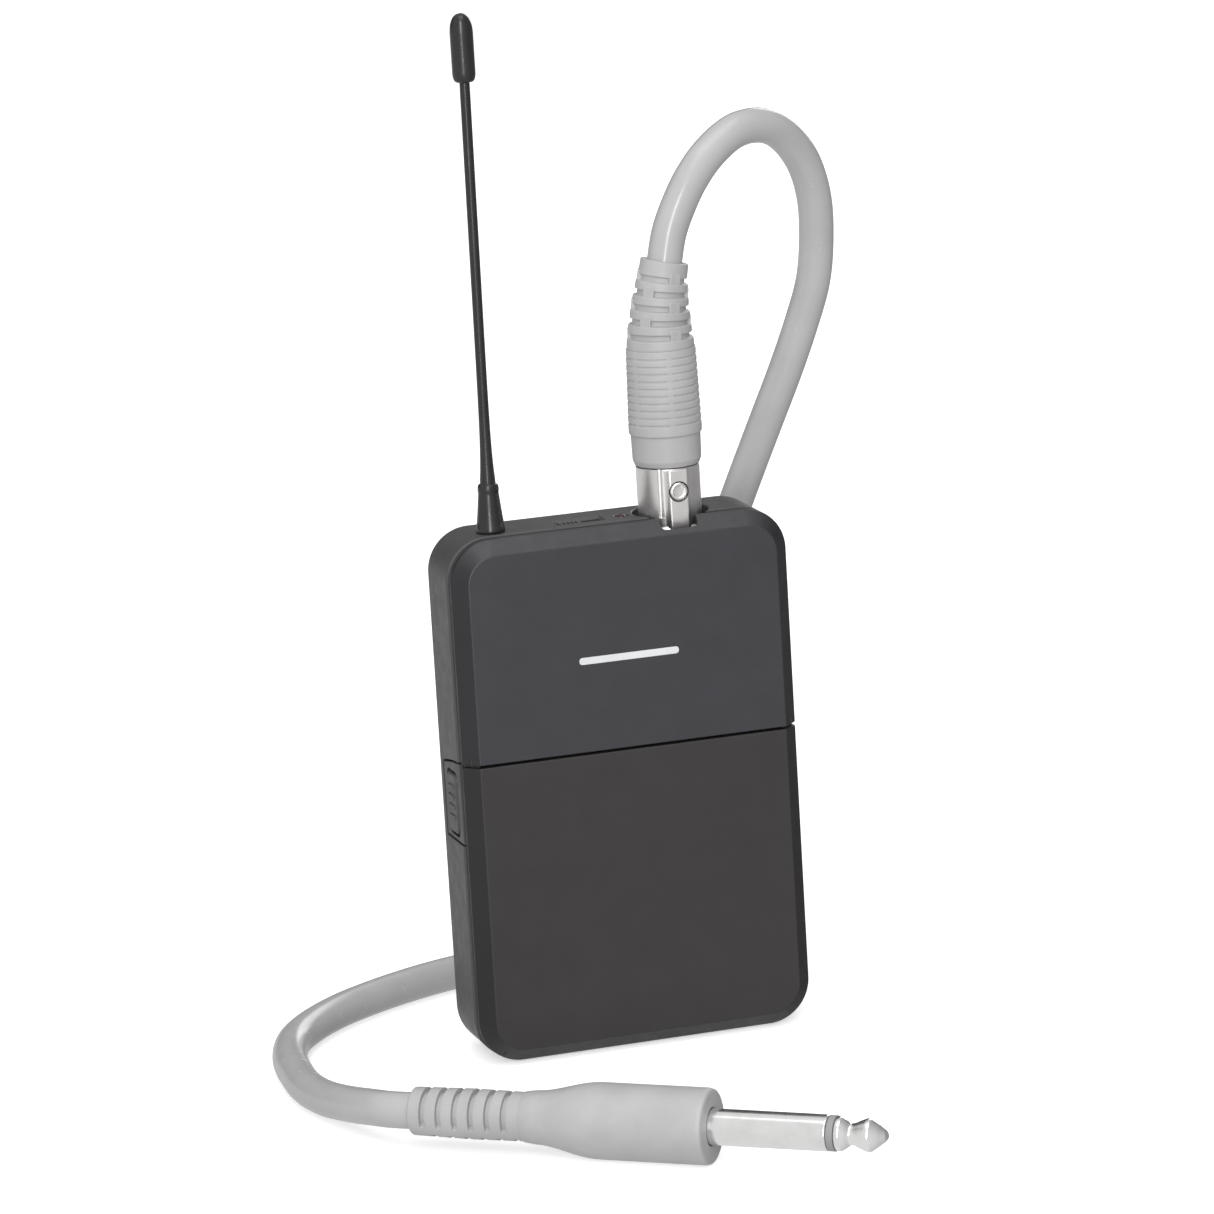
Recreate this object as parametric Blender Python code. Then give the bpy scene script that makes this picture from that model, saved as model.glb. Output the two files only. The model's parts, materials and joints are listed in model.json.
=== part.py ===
"""Wireless guitar transmitter: a belt pack with a whip antenna, two AA cells behind a hinged door,
a belt clip, and a short instrument lead from a mini connector to a 6.35 mm phone plug.

Metres, +Z up. The pack stands on its bottom with its front towards -Y; the origin is below its middle."""

import math

import bmesh
import bpy
from mathutils import Matrix, Vector

MM = 0.001

# Case
CASE_WIDTH = 64 * MM
CASE_DEPTH = 20 * MM
CASE_HEIGHT = 98 * MM
CLIP_DEPTH = 10 * MM  # how far the belt clip stands behind the case
CORNER_RADIUS = 8 * MM
EDGE_RADIUS = 2.6 * MM
WALL = 1.6 * MM
GAP = 0.3 * MM
COVER_DEPTH = 5.2 * MM  # depth of the front shell and of the battery door
SPLIT_GAP = 0.4 * MM
SEAM_Z = 56.8 * MM
SEAM_GAP = 0.5 * MM
FLOOR_CLEARANCE = 0.3 * MM

# Places of the working parts on the case
HINGE_OFFSET = 3.2 * MM  # battery door hinge, from the door's outer faces
LATCH_LOW_Z = 41.4 * MM
LATCH_REAR_Y = 0.9 * MM
JACK_X, JACK_Y = 12.5 * MM, -5 * MM
WELL_RADIUS = 7 * MM
WELL_FLOOR_Z = 94 * MM
ANTENNA_X, ANTENNA_Y = -22 * MM, -5.8 * MM
SWITCH_X, SWITCH_Y = -5 * MM, -4.8 * MM
LED_X = 3.2 * MM
SCREW_X = 26.6 * MM
SCREW_HEIGHTS = (66 * MM, 88 * MM)
CLIP_PIVOT_Y, CLIP_PIVOT_Z = 10.2 * MM, 79 * MM
TRIM_X, TRIM_Z = 23.5 * MM, 46 * MM

# Standard parts
CELL_RADIUS, CELL_LENGTH = 7.1 * MM, 50.5 * MM
CELL_X, CELL_Y, CELL_LOW_Z = 7.45 * MM, -5 * MM, 6.3 * MM
PHONE_RADIUS, PHONE_LENGTH = 3.175 * MM, 31.75 * MM
CORD_RADIUS = 3.25 * MM

# Worked out from the above
FRONT_Y = -(CASE_DEPTH + CLIP_DEPTH) / 2
REAR_Y = FRONT_Y + CASE_DEPTH
SPLIT_Y = FRONT_Y + COVER_DEPTH
HINGE_Y = FRONT_Y + HINGE_OFFSET
HINGE_Z = FLOOR_CLEARANCE + HINGE_OFFSET
DOOR_TOP_Z = SEAM_Z - SEAM_GAP / 2
FRONT_SHELL_LOW_Z = SEAM_Z + SEAM_GAP / 2
INNER_REAR_Y = REAR_Y - WALL
INNER_TOP_Z = CASE_HEIGHT - WALL

# The plug on the floor: middle of its handle's front face, and the way it points
PHONE_FACE = Vector((-12.4, -87.9, 6.75)) * MM
PHONE_AXIS = Vector((0.789, -0.614, 0)).normalized()

# The lead's route, from the strain relief over and down behind the case, then along the floor
STRAIN_RELIEF_LEAN, STRAIN_RELIEF_LENGTH = 1.7 * MM, 15.4 * MM
CORD_ROUTE = [
    (14.3, -5.0, 144.4),
    (15.3, -4.8, 148.6),
    (17.4, -4.2, 153.1),
    (20.6, -3.0, 157.9),
    (25.0, -1.4, 162.3),
    (30.8, 0.6, 165.6),
    (36.9, 2.8, 165.8),
    (41.9, 5.2, 163.1),
    (46.2, 7.6, 157.6),
    (48.6, 9.6, 150.6),
    (49.2, 11.2, 142.8),
    (48.6, 12.6, 134.6),
    (46.2, 14.0, 126.2),
    (43.1, 15.6, 117.4),
    (39.8, 17.3, 108.9),
    (36.6, 19.2, 100.4),
    (33.4, 21.4, 91.4),
    (30.2, 23.9, 81.6),
    (27.2, 26.6, 71.2),
    (24.4, 29.4, 60.4),
    (21.6, 32.3, 49.6),
    (18.5, 35.2, 38.8),
    (14.8, 38.0, 28.2),
    (10.0, 40.4, 18.2),
    (3.6, 42.2, 9.8),
    (-4.6, 42.9, 5.0),
    (-13.4, 42.4, 3.4),
    (-22.2, 40.6, 3.35),
    (-31.5, 36.8, 3.35),
    (-40.4, 31.8, 3.35),
    (-48.6, 25.9, 3.35),
    (-56.0, 18.4, 3.35),
    (-61.8, 9.6, 3.35),
    (-65.3, -1.0, 3.35),
    (-66.7, -12.4, 3.35),
    (-67.0, -21.4, 3.5),
    (-66.0, -30.4, 4.0),
    (-63.9, -39.4, 5.1),
    (-61.7, -46.6, 6.2),
    (-59.5, -51.1, 6.7),
    (-56.32, -53.72, 6.75),
]
CORD_BREAK_Z = 52 * MM  # the upper stretch rides with the plug, the lower one stays


# ---------------------------------------------------------------- building blocks


def clear_scene():
    for thing in list(bpy.data.objects):
        bpy.data.objects.remove(thing, do_unlink=True)


def material(name, colour, roughness, metallic=0.0):
    made = bpy.data.materials.new(name)
    made.use_nodes = True
    shader = made.node_tree.nodes["Principled BSDF"]
    shader.inputs["Base Color"].default_value = (*colour, 1)
    shader.inputs["Roughness"].default_value = roughness
    shader.inputs["Metallic"].default_value = metallic
    made.diffuse_color = (*colour, 1)
    return made


def add_object(name, shape, finish=None):
    mesh = bpy.data.meshes.new(name)
    shape.to_mesh(mesh)
    shape.free()
    mesh.shade_smooth()
    mesh.set_sharp_from_angle(angle=math.radians(35))
    made = bpy.data.objects.new(name, mesh)
    bpy.context.scene.collection.objects.link(made)
    if finish:
        mesh.materials.append(finish)
    return made


def pivot(name, place):
    """An empty on a joint's axis, for its moving pieces to hang on."""
    made = bpy.data.objects.new(name, None)
    made.location = place
    made.empty_display_size = 5 * MM
    bpy.context.scene.collection.objects.link(made)
    return made


def hang(piece, parent):
    piece.parent = parent
    place = parent.location.copy()
    above = parent.parent
    while above:
        place += above.location
        above = above.parent
    piece.matrix_parent_inverse = Matrix.Translation(-place)


def block(low, high):
    low, high = Vector(low) * MM, Vector(high) * MM
    size, middle = high - low, (low + high) / 2
    shape = bmesh.new()
    bmesh.ops.create_cube(shape, size=1, matrix=Matrix.Translation(middle) @ Matrix.Diagonal((*size, 1)))
    return shape


def side_block(side, x, y, z):
    """Block whose X span is given for the right-hand side (side 1) and mirrored for the left (-1)."""
    near, far = sorted((side * x[0], side * x[1]))
    return block((near, y[0], z[0]), (far, y[1], z[1]))


def side_prism(side, x, points):
    near, far = sorted((side * x[0], side * x[1]))
    return prism(points, near, far, "X")


def frame_along(start, direction):
    """Matrix that takes +Z at the origin to direction at start."""
    turn = Vector(direction).to_track_quat("Z", "Y").to_matrix().to_4x4()
    return Matrix.Translation(start) @ turn


def rod(start, end, radius, sides=16, end_radius=None):
    start, end = Vector(start) * MM, Vector(end) * MM
    shape = bmesh.new()
    bmesh.ops.create_cone(
        shape,
        cap_ends=True,
        segments=sides,
        radius1=radius * MM,
        radius2=(radius if end_radius is None else end_radius) * MM,
        depth=(end - start).length,
        matrix=frame_along((start + end) / 2, end - start),
    )
    return shape


def turned(profile, start, direction=(0, 0, 1), sides=20, closed=False):
    """Spins (radius, height) points, in millimetres, about the axis that leaves start along direction."""
    shape = bmesh.new()
    points = [shape.verts.new((radius * MM, 0, height * MM)) for radius, height in profile]
    edges = [shape.edges.new(pair) for pair in zip(points, points[1:])]
    if closed:
        edges.append(shape.edges.new((points[-1], points[0])))
    bmesh.ops.spin(
        shape,
        geom=points + edges,
        cent=(0, 0, 0),
        axis=(0, 0, 1),
        angle=2 * math.pi,
        steps=sides,
        use_merge=True,
    )
    bmesh.ops.remove_doubles(shape, verts=shape.verts, dist=1e-6)
    bmesh.ops.recalc_face_normals(shape, faces=shape.faces)
    bmesh.ops.transform(shape, matrix=frame_along(Vector(start) * MM, direction), verts=shape.verts)
    return shape


def ring(inner, outer, low, high):
    """Profile of a plain tube, for turned(..., closed=True)."""
    return [(inner, low), (outer, low), (outer, high), (inner, high)]


def prism(points, low, high, axis):
    """Extrudes an outline, in millimetres, along X (points are Y, Z), Y (X, Z) or Z (X, Y)."""
    order = {"X": (2, 0, 1), "Y": (0, 2, 1), "Z": (0, 1, 2)}[axis]
    loops = []
    for level in (low, high):
        corners = [(*point, level) for point in points]
        loops.append([Vector([corner[i] for i in order]) * MM for corner in corners])
    return loft(loops)


def loft(loops):
    """Closed skin through loops of equally many points, with a face over each end."""
    shape = bmesh.new()
    rings = [[shape.verts.new(point) for point in loop] for loop in loops]
    shape.faces.new(rings[0])
    shape.faces.new(rings[-1])
    for one, other in zip(rings, rings[1:]):
        for i in range(len(one)):
            j = (i + 1) % len(one)
            shape.faces.new((one[i], one[j], other[j], other[i]))
    bmesh.ops.recalc_face_normals(shape, faces=shape.faces)
    return shape


def combine(target, operation, shapes):
    """Adds or cuts each shape with a Boolean, keeping it as a hidden helper."""
    for shape in shapes:
        helper = add_object(f"{target.name}_{operation.lower()}_{len(target.modifiers)}", shape)
        helper.hide_render = True
        helper.display_type = "WIRE"
        modifier = target.modifiers.new(operation.title(), "BOOLEAN")
        modifier.operation = operation
        modifier.object = helper
        if target.parent:
            helper.parent = target.parent
            helper.matrix_parent_inverse = target.matrix_parent_inverse


def add(target, *shapes):
    combine(target, "UNION", shapes)


def cut(target, *shapes):
    combine(target, "DIFFERENCE", shapes)


def keep(target, shape):
    combine(target, "INTERSECT", [shape])


def wire(name, points, radius, finish, resolution=1):
    """Round wire through points in metres."""
    curve = bpy.data.curves.new(name, "CURVE")
    curve.dimensions = "3D"
    curve.bevel_depth = radius
    curve.bevel_resolution = resolution
    curve.use_fill_caps = True
    spline = curve.splines.new("POLY")
    spline.points.add(len(points) - 1)
    for place, point in zip(spline.points, points):
        place.co = (*point, 1)
    curve.materials.append(finish)
    made = bpy.data.objects.new(name, curve)
    bpy.context.scene.collection.objects.link(made)
    return made


def coil(centre, radii, heights, turns, steps_per_turn=10, axis=(0, 0, 1)):
    """Points of a helix that may be conical, about the axis through centre, in metres."""
    frame = frame_along(Vector(centre) * MM, axis)
    count = int(turns * steps_per_turn)
    points = []
    for i in range(count + 1):
        part = i / count
        angle = 2 * math.pi * turns * part
        radius = radii[0] + (radii[1] - radii[0]) * part
        height = heights[0] + (heights[1] - heights[0]) * part
        points.append(frame @ (Vector((radius * math.cos(angle), radius * math.sin(angle), height)) * MM))
    return points


def smooth_route(route, spacing):
    """Evenly spaced points, in metres, on a smooth curve through a route in millimetres."""
    knots = [Vector(point) * MM for point in route]
    ends = [2 * knots[0] - knots[1]], [2 * knots[-1] - knots[-2]]
    knots = ends[0] + knots + ends[1]
    fine = []
    for a, b, c, d in zip(knots, knots[1:], knots[2:], knots[3:]):
        for i in range(12):
            t = i / 12
            bend = 2 * a - 5 * b + 4 * c - d
            twist = 3 * (b - c) + d - a
            fine.append(b + 0.5 * t * ((c - a) + t * (bend + t * twist)))
    fine.append(knots[-2])
    lengths = [0.0]
    for one, other in zip(fine, fine[1:]):
        lengths.append(lengths[-1] + (other - one).length)
    count = round(lengths[-1] / spacing)
    points, j = [], 0
    for i in range(count + 1):
        target = lengths[-1] * i / count
        while j < len(fine) - 2 and lengths[j + 1] < target:
            j += 1
        part = (target - lengths[j]) / (lengths[j + 1] - lengths[j])
        points.append(fine[j].lerp(fine[j + 1], part))
    return points


# ---------------------------------------------------------------- case


def case_outline(inset, low):
    """The case's rounded outline seen from the front, drawn in by inset, in metres."""
    half, top, steps = CASE_WIDTH / 2 - inset, CASE_HEIGHT - inset, 6
    radius = CORNER_RADIUS - inset
    low += inset
    corners = (
        (half - radius, top - radius),
        (radius - half, top - radius),
        (radius - half, low + radius),
        (half - radius, low + radius),
    )
    points = []
    for quarter, (x, z) in enumerate(corners):
        for i in range(steps + 1):
            angle = math.pi / 2 * (quarter + i / steps)
            points.append((x + radius * math.cos(angle), z + radius * math.sin(angle)))
    return points


def half_case(rim_y, face_y, low=0.0, edge_steps=4):
    """A tray with rounded corners, open at rim_y and closed by a wall at face_y. One edge step is a chamfer."""
    way = 1 if face_y > rim_y else -1

    def skin(inset, edge_radius, steps):
        loops = [(inset, rim_y)]
        for i in range(steps + 1):
            angle = math.pi / 2 * i / steps
            drawn_in = inset + edge_radius * (1 - math.cos(angle))
            depth = face_y - way * (inset + edge_radius * (1 - math.sin(angle)))
            loops.append((drawn_in, depth))
        return [[Vector((x, y, z)) for x, z in case_outline(drawn_in, low)] for drawn_in, y in loops]

    outer = skin(0.0, EDGE_RADIUS, edge_steps)
    inner = skin(WALL, EDGE_RADIUS - WALL, edge_steps // 2 or 1)
    return loft(inner[::-1] + outer)


def latch_arc(radius, start_y, end_y, steps=4):
    """(Y, Z) points, in millimetres, on an arc about the door's hinge."""
    points = []
    for i in range(steps + 1):
        y = start_y + (end_y - start_y) * i / steps
        points.append((y, HINGE_Z / MM + math.sqrt(radius**2 - (y - HINGE_Y / MM) ** 2)))
    return points


def latch_radius():
    return math.hypot(DOOR_TOP_Z - HINGE_Z, SPLIT_Y - HINGE_Y) / MM


def rear_shell(plastic):
    shell = add_object("rear_shell", half_case(SPLIT_Y + SPLIT_GAP, REAR_Y), plastic)
    rear, top = INNER_REAR_Y / MM + 0.4, INNER_TOP_Z / MM
    jack_x, jack_y, well = JACK_X / MM, JACK_Y / MM, WELL_RADIUS / MM
    hinge_y, hinge_z = HINGE_Y / MM, HINGE_Z / MM
    cut(shell, rod((-40, hinge_y, hinge_z), (40, hinge_y, hinge_z), 3.5, 24))
    for side in (-1, 1):
        add(shell, side_block(side, (15.0, 16.2), (-8.6, rear), (1.2, 60.6)))
        add(shell, hinge_arm(side))
        for z in SCREW_HEIGHTS:
            x = side * SCREW_X / MM
            add(shell, rod((x, 0.9, z / MM), (x, rear, z / MM), 3.3, 12))
    add(shell, block((-30.8, -8.9, 60.0), (30.8, 1.3, 61.2)))
    add(shell, block((jack_x - well - 0.9, -9.2, 92.4), (jack_x + well + 0.9, rear, top + 0.4)))

    cut(shell, rod((jack_x, jack_y, WELL_FLOOR_Z / MM), (jack_x, jack_y, 100), well, 28))
    cut(shell, rod((jack_x, jack_y, 90), (jack_x, jack_y, 100), 5.6, 24))
    cut(shell, rod((ANTENNA_X / MM, ANTENNA_Y / MM, 90), (ANTENNA_X / MM, ANTENNA_Y / MM, 100), 1.9, 14))
    switch_x, switch_y = SWITCH_X / MM, SWITCH_Y / MM
    cut(shell, rod((LED_X / MM, switch_y, 90), (LED_X / MM, switch_y, 100), 1.3, 12))
    cut(shell, block((switch_x - 4.2, switch_y - 1.8, 95), (switch_x + 4.2, switch_y + 1.8, 100)))
    low, back = LATCH_LOW_Z / MM - 0.3, LATCH_REAR_Y / MM + 0.3
    notch = [(-12, low), (back, low), *latch_arc(latch_radius() + 0.4, back, -12)]
    for side in (-1, 1):
        cut(shell, side_prism(side, (29.6, 34), notch))
        for z in SCREW_HEIGHTS:
            x = side * SCREW_X / MM
            cut(shell, rod((x, 3.2, z / MM), (x, 7, z / MM), 2.7, 16))
            cut(shell, rod((x, -2, z / MM), (x, 7, z / MM), 1.4, 12))
    for z in clip_screw_heights():
        cut(shell, rod((0, 2, z), (0, 7, z), 1.25, 12))
    drill_hinge(shell, (22.4, 25.9))
    return shell


def hinge_arm(side):
    """Knuckle that reaches forward from the rear shell's floor to the hinge pin."""
    y, z = HINGE_Y / MM, HINGE_Z / MM
    knuckle = []
    for i in range(9):
        angle = math.radians(90 + 270 * i / 8)
        knuckle.append((y + 1.8 * math.cos(angle), z + 1.8 * math.sin(angle)))
    arm = [(y + 3.8, z + 0.4), (y + 3.8, 1.2), (y + 6.4, 1.2), (y + 6.4, z + 2.6), (y + 2.0, z + 2.6)]
    return side_prism(side, (22.9, 25.4), knuckle + arm)


def drill_hinge(piece, x):
    y, z = HINGE_Y / MM, HINGE_Z / MM
    for side in (-1, 1):
        cut(piece, rod((side * x[0], y, z), (side * x[1], y, z), 1.1, 12))


def front_shell(plastic):
    shell = add_object("front_shell", half_case(SPLIT_Y, FRONT_Y, edge_steps=1), plastic)
    low = FRONT_SHELL_LOW_Z / MM
    keep(shell, block((-40, -20, low), (40, -5, 110)))
    add(shell, block((-30.8, -13.8, low), (30.8, -10.4, low + 1.2)))
    jack_x, jack_y, well = JACK_X / MM, JACK_Y / MM, WELL_RADIUS / MM
    cut(shell, rod((jack_x, jack_y, 93), (jack_x, jack_y, 100), well, 28))
    cut(shell, rod((jack_x, jack_y, 91), (jack_x, jack_y, 96.2), well + 1.2, 28))
    cut(shell, block((jack_x - 4.6, -14.15, 94.6), (jack_x + 2.5, -9, 100)))
    for side in (-1, 1):
        for z in SCREW_HEIGHTS:
            x = side * SCREW_X / MM
            add(shell, rod((x, -13.8, z / MM), (x, 0.5, z / MM), 2.7, 14))
            cut(shell, rod((x, -11, z / MM), (x, 2, z / MM), 1.4, 12))
    return shell


def battery_door(plastic, hinge):
    door = add_object("battery_door", half_case(SPLIT_Y, FRONT_Y, FLOOR_CLEARANCE, 1), plastic)
    hang(door, hinge)
    y, z = HINGE_Y / MM, HINGE_Z / MM
    keep(door, block((-40, -20, -1), (40, -5, DOOR_TOP_Z / MM)))
    swing = []
    for degrees in range(0, 91, 15):
        angle = math.radians(degrees)
        swing.append((y + 3.2 * math.sin(angle), z - 3.2 * math.cos(angle)))
    cut(door, prism([*swing, (y + 6, z), (y + 6, -2), (y, -2)], -40, 40, "X"))
    top = DOOR_TOP_Z / MM
    add(door, block((-29.6, -13.8, top - 1.2), (29.6, -12.5, top)))
    slot = [(y, -1), (-5, -1), (-5, 7.5), (y, 7.5)]
    for i in range(11):
        angle = math.radians(90 + 180 * i / 10)
        slot.append((y + 2.3 * math.cos(angle), z + 2.3 * math.sin(angle)))
    for side in (-1, 1):
        cut(door, side_prism(side, (22.6, 25.7), slot))
        add(door, rod((side * 25.7, y, z), (side * 27.7, y, z), 2.2, 16))
        for rail_z in (42.6, 53.6):
            add(door, side_block(side, (19, 28), (-13.8, -11.4), (rail_z, rail_z + 1)))
    drill_hinge(door, (25.4, 28.0))
    return door


def door_latch(name, side, plastic, parent):
    """Press tab in the case's side, on an arm that slides behind the door's front."""
    low, back, front = LATCH_LOW_Z / MM, LATCH_REAR_Y / MM, SPLIT_Y / MM + 0.3
    face = [(front, low), (back, low), *latch_arc(latch_radius(), back, front)]
    latch = add_object(name, side_prism(side, (30.2, 31.9), face), plastic)
    hang(latch, parent)
    arm = [(30.4, -9.0), (30.4, -3.0), (28.4, -3.0), (28.4, -11.6)]
    arm += [(20.0, -11.6), (20.0, -13.0), (29.6, -13.0), (29.6, -9.0)]
    add(latch, prism([(side * x, y) for x, y in arm], 44.0, 53.2, "Z"))
    return latch


def hinge_pins(steel):
    y, z = HINGE_Y / MM, HINGE_Z / MM
    for name, side in (("door_hinge_pin_left", -1), ("door_hinge_pin_right", 1)):
        add_object(name, rod((side * 22.8, y, z), (side * 27.6, y, z), 0.8, 12), steel)


def case_screws(steel):
    profile = [(0, 0), (1.1, 0), (1.1, 10.4), (2.4, 10.4), (2.4, 11.2), (1.6, 11.8), (0, 11.8)]
    for row, z in zip(("lower", "upper"), SCREW_HEIGHTS):
        for column, side in (("left", -1), ("right", 1)):
            start = (side * SCREW_X / MM, -6.9, z / MM)
            add_object(f"case_screw_{row}_{column}", turned(profile, start, (0, 1, 0), 12), steel)


# ---------------------------------------------------------------- belt clip


def clip_screw_heights():
    return (CLIP_PIVOT_Z / MM - 9, CLIP_PIVOT_Z / MM + 6)


def belt_clip_base(plastic):
    rear, y, z = REAR_Y / MM + 0.3, CLIP_PIVOT_Y / MM, CLIP_PIVOT_Z / MM
    base = add_object("belt_clip_base", block((-9, rear, z - 13), (9, rear + 1.5, z + 10)), plastic)
    ear = [(rear + 1, z - 5), (y + 1.5, z - 2.2), (y + 2.2, z), (y + 1.5, z + 2.2), (rear + 1, z + 5)]
    for side in (-1, 1):
        add(base, side_prism(side, (7.2, 9), ear))
    cut(base, rod((-12, y, z), (12, y, z), 1.3, 12))
    for height in clip_screw_heights():
        cut(base, rod((0, 4, height), (0, 9, height), 1.25, 12))
        cut(base, rod((0, rear + 0.8, height), (0, 9, height), 2.3, 14))
    return base


def belt_clip(plastic, parent):
    """Sprung arm: a thumb pad above the pivot, a long tongue below it with its toe turned in."""
    rear, z = REAR_Y / MM, CLIP_PIVOT_Z / MM
    outside = [(14.0, z + 11), (15, z + 8), (15, z - 34), (14.2, z - 41), (11.6, z - 45.5)]
    outside += [(8.8, z - 47.2), (8.4, z - 50)]
    inside = [(7.0, z - 50), (6.2, z - 47.6), (7.0, z - 45.8), (10.0, z - 43.4), (12.4, z - 39)]
    inside += [(13.1, z - 33), (13.1, z + 8), (12.6, z + 11)]
    clip = add_object("belt_clip", prism(outside + inside, -8.5, 8.5, "X"), plastic)
    hang(clip, parent)
    y = CLIP_PIVOT_Y / MM
    lug = [(13.6, z - 4), (y - 1.4, z - 1.9), (y - 2.1, z), (y - 1.4, z + 1.9), (13.6, z + 4)]
    for side in (-1, 1):
        add(clip, side_prism(side, (4.9, 6.8), lug))
    cut(clip, rod((-7, y, z), (7, y, z), 1.3, 12))
    return clip


def belt_clip_hardware(steel):
    y, z = CLIP_PIVOT_Y / MM, CLIP_PIVOT_Z / MM
    add_object("belt_clip_pin", rod((-9, y, z), (9, y, z), 1.0, 12), steel)
    turns = coil((-2.4, y, z), (1.75, 1.75), (0, 4.8), 4.5, 12, (1, 0, 0))
    wire("belt_clip_spring", turns, 0.4 * MM, steel, 0)
    profile = [(0, 0), (0.9, 0), (0.9, 2.9), (2.0, 2.9), (2.0, 3.4), (0, 3.4)]
    for name, height in zip(("belt_clip_screw_lower", "belt_clip_screw_upper"), clip_screw_heights()):
        add_object(name, turned(profile, (0, 3.6, height), (0, 1, 0), 12), steel)


# ---------------------------------------------------------------- electronics


def boards_and_parts(board, chip, steel, blue):
    add_object("main_board", block((-22.8, 1.7, 61.8), (22.8, 2.9, 92.0)), board)
    add_object("gain_board", block((17.8, 1.7, 34), (29.4, 2.9, 56)), board)
    add_object("rf_shield_can", block((-19.5, -2.2, 72), (1.5, 1.4, 90)), steel)
    add_object("processor_chip", block((-6.5, 0, 63), (2.5, 1.4, 70)), chip)
    add_object("audio_chip", block((5.5, 0.1, 64), (10.5, 1.4, 70.5)), chip)
    add_object("crystal_can", block((-16.5, -1.6, 64), (-9.5, 1.4, 68.5)), steel)
    lid = [(0, 0), (2.6, 0), (2.6, 5.2), (2.3, 5.8), (0, 5.8)]
    add_object("capacitor_large", turned(lid, (17.6, 1.4, 72), (0, -1, 0), 14), blue)
    lid = [(0, 0), (1.9, 0), (1.9, 4.2), (1.6, 4.7), (0, 4.7)]
    add_object("capacitor_small", turned(lid, (17.8, 1.4, 65), (0, -1, 0), 12), blue)
    winding = [(0, 0), (2.8, 0), (2.8, 0.7), (1.9, 1.0), (1.9, 2.6), (2.8, 2.9), (2.8, 3.6), (0, 3.6)]
    add_object("coil_inductor", turned(winding, (9.4, 1.4, 76), (0, -1, 0), 14), chip)


def power_switch(chip, plastic, parent):
    x, y = SWITCH_X / MM, SWITCH_Y / MM
    add_object("power_switch_body", block((x - 4.6, y - 2.6, 91.4), (x + 4.6, y + 2.6, 96.0)), chip)
    knob = add_object("power_switch_knob", block((x - 3.7, y - 1.4, 96.3), (x + 0.5, y + 1.4, 97.7)), plastic)
    hang(knob, parent)
    for i in range(3):
        groove_x = x - 2.9 + i * 1.1
        cut(knob, block((groove_x, y - 2, 97.3), (groove_x + 0.5, y + 2, 98)))


def status_led(lens):
    profile = [(0, 0), (1.3, 0), (1.3, 0.8), (1.0, 0.8), (1.0, 4.4), (0.7, 4.8), (0, 5.0)]
    add_object("status_led", turned(profile, (LED_X / MM, SWITCH_Y / MM, 93.2), sides=12), lens)


def gain_trim(chip, plastic, parent):
    x, z = TRIM_X / MM, TRIM_Z / MM
    body = add_object("gain_trim_body", block((x - 3.2, -1.6, z - 3.2), (x + 3.2, 1.4, z + 3.2)), chip)
    cut(body, rod((x, -3, z), (x, -0.6, z), 2.4, 16))
    rotor = add_object("gain_trim_rotor", rod((x, -0.9, z), (x, -2.4, z), 2.1, 16), plastic)
    hang(rotor, parent)
    cut(rotor, block((x - 1.7, -3, z - 0.35), (x + 1.7, -1.7, z + 0.35)))


def batteries(wrap, steel):
    tip = CELL_LENGTH / MM
    radius = CELL_RADIUS / MM
    profile = [(0, 0), (radius - 0.5, 0), (radius, 0.5), (radius, tip - 1.9), (radius - 0.6, tip - 1.2)]
    profile += [(2.7, tip - 1.2), (2.7, tip - 0.2), (2.4, tip), (0, tip)]
    low = CELL_LOW_Z / MM
    x, y = CELL_X / MM, CELL_Y / MM
    add_object("battery_left", turned(profile, (-x, y, low), (0, 0, 1), 20), wrap)
    add_object("battery_right", turned(profile, (x, y, low + tip), (0, 0, -1), 20), wrap)
    bridge = add_object("contact_bridge", block((-13.6, y - 2.6, 2.0), (13.6, y + 3.4, 2.4)), steel)
    add(bridge, block((x - 3.4, y - 2.6, 2.2), (x + 3.4, y + 2.6, 6.0)))
    wire("contact_spring_lower", coil((-x, y, 3.1), (2.9, 2.0), (0, 2.5), 2.6), 0.35 * MM, steel, 0)
    wire("contact_spring_upper", coil((x, y, 57.5), (2.6, 4.4), (0, 1.4), 1.4), 0.35 * MM, steel, 0)
    add_object("contact_plate_positive", block((-x - 3.6, y - 3, 57.2), (-x + 3.6, y + 3.4, 57.7)), steel)
    add_object("contact_plate_negative", block((x - 5, y - 3.4, 59.3), (x + 5, y + 3.6, 59.7)), steel)


# ---------------------------------------------------------------- antenna


def antenna(rubber, brass, parent):
    x, y = ANTENNA_X / MM, ANTENNA_Y / MM
    ferrule = [(0, 91.2), (2.4, 91.2), (2.4, 93), (1.5, 93), (1.5, 97.9), (0, 97.9)]
    add_object("antenna_ferrule", turned(ferrule, (x, y, 0), sides=14), brass)
    boot = [(0, 98.3), (2.75, 98.3), (2.75, 99.2), (2.55, 99.8), (1.75, 106.3), (1.5, 107), (0, 107)]
    add_object("antenna_boot", turned(boot, (x, y, 0), sides=18), rubber)
    whip = add_object("antenna_whip", rod((x, y, 107.4), (x + 0.45, y, 179.6), 0.95, 10), rubber)
    hang(whip, parent)
    tip = [(0, 0), (1.7, 0), (2.1, 0.8), (2.1, 9.6), (1.75, 11.2), (1.0, 12.1), (0, 12.4)]
    cap = add_object("antenna_tip", turned(tip, (x + 0.45, y, 179.9), sides=14), rubber)
    hang(cap, parent)


# ---------------------------------------------------------------- connector on the case


def connector_circle():
    """(X, Y) of the three contacts, in millimetres."""
    places = []
    for i in range(3):
        angle = math.radians(90 + 120 * i)
        places.append((JACK_X / MM + 2.0 * math.cos(angle), JACK_Y / MM + 2.0 * math.sin(angle)))
    return places


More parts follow.
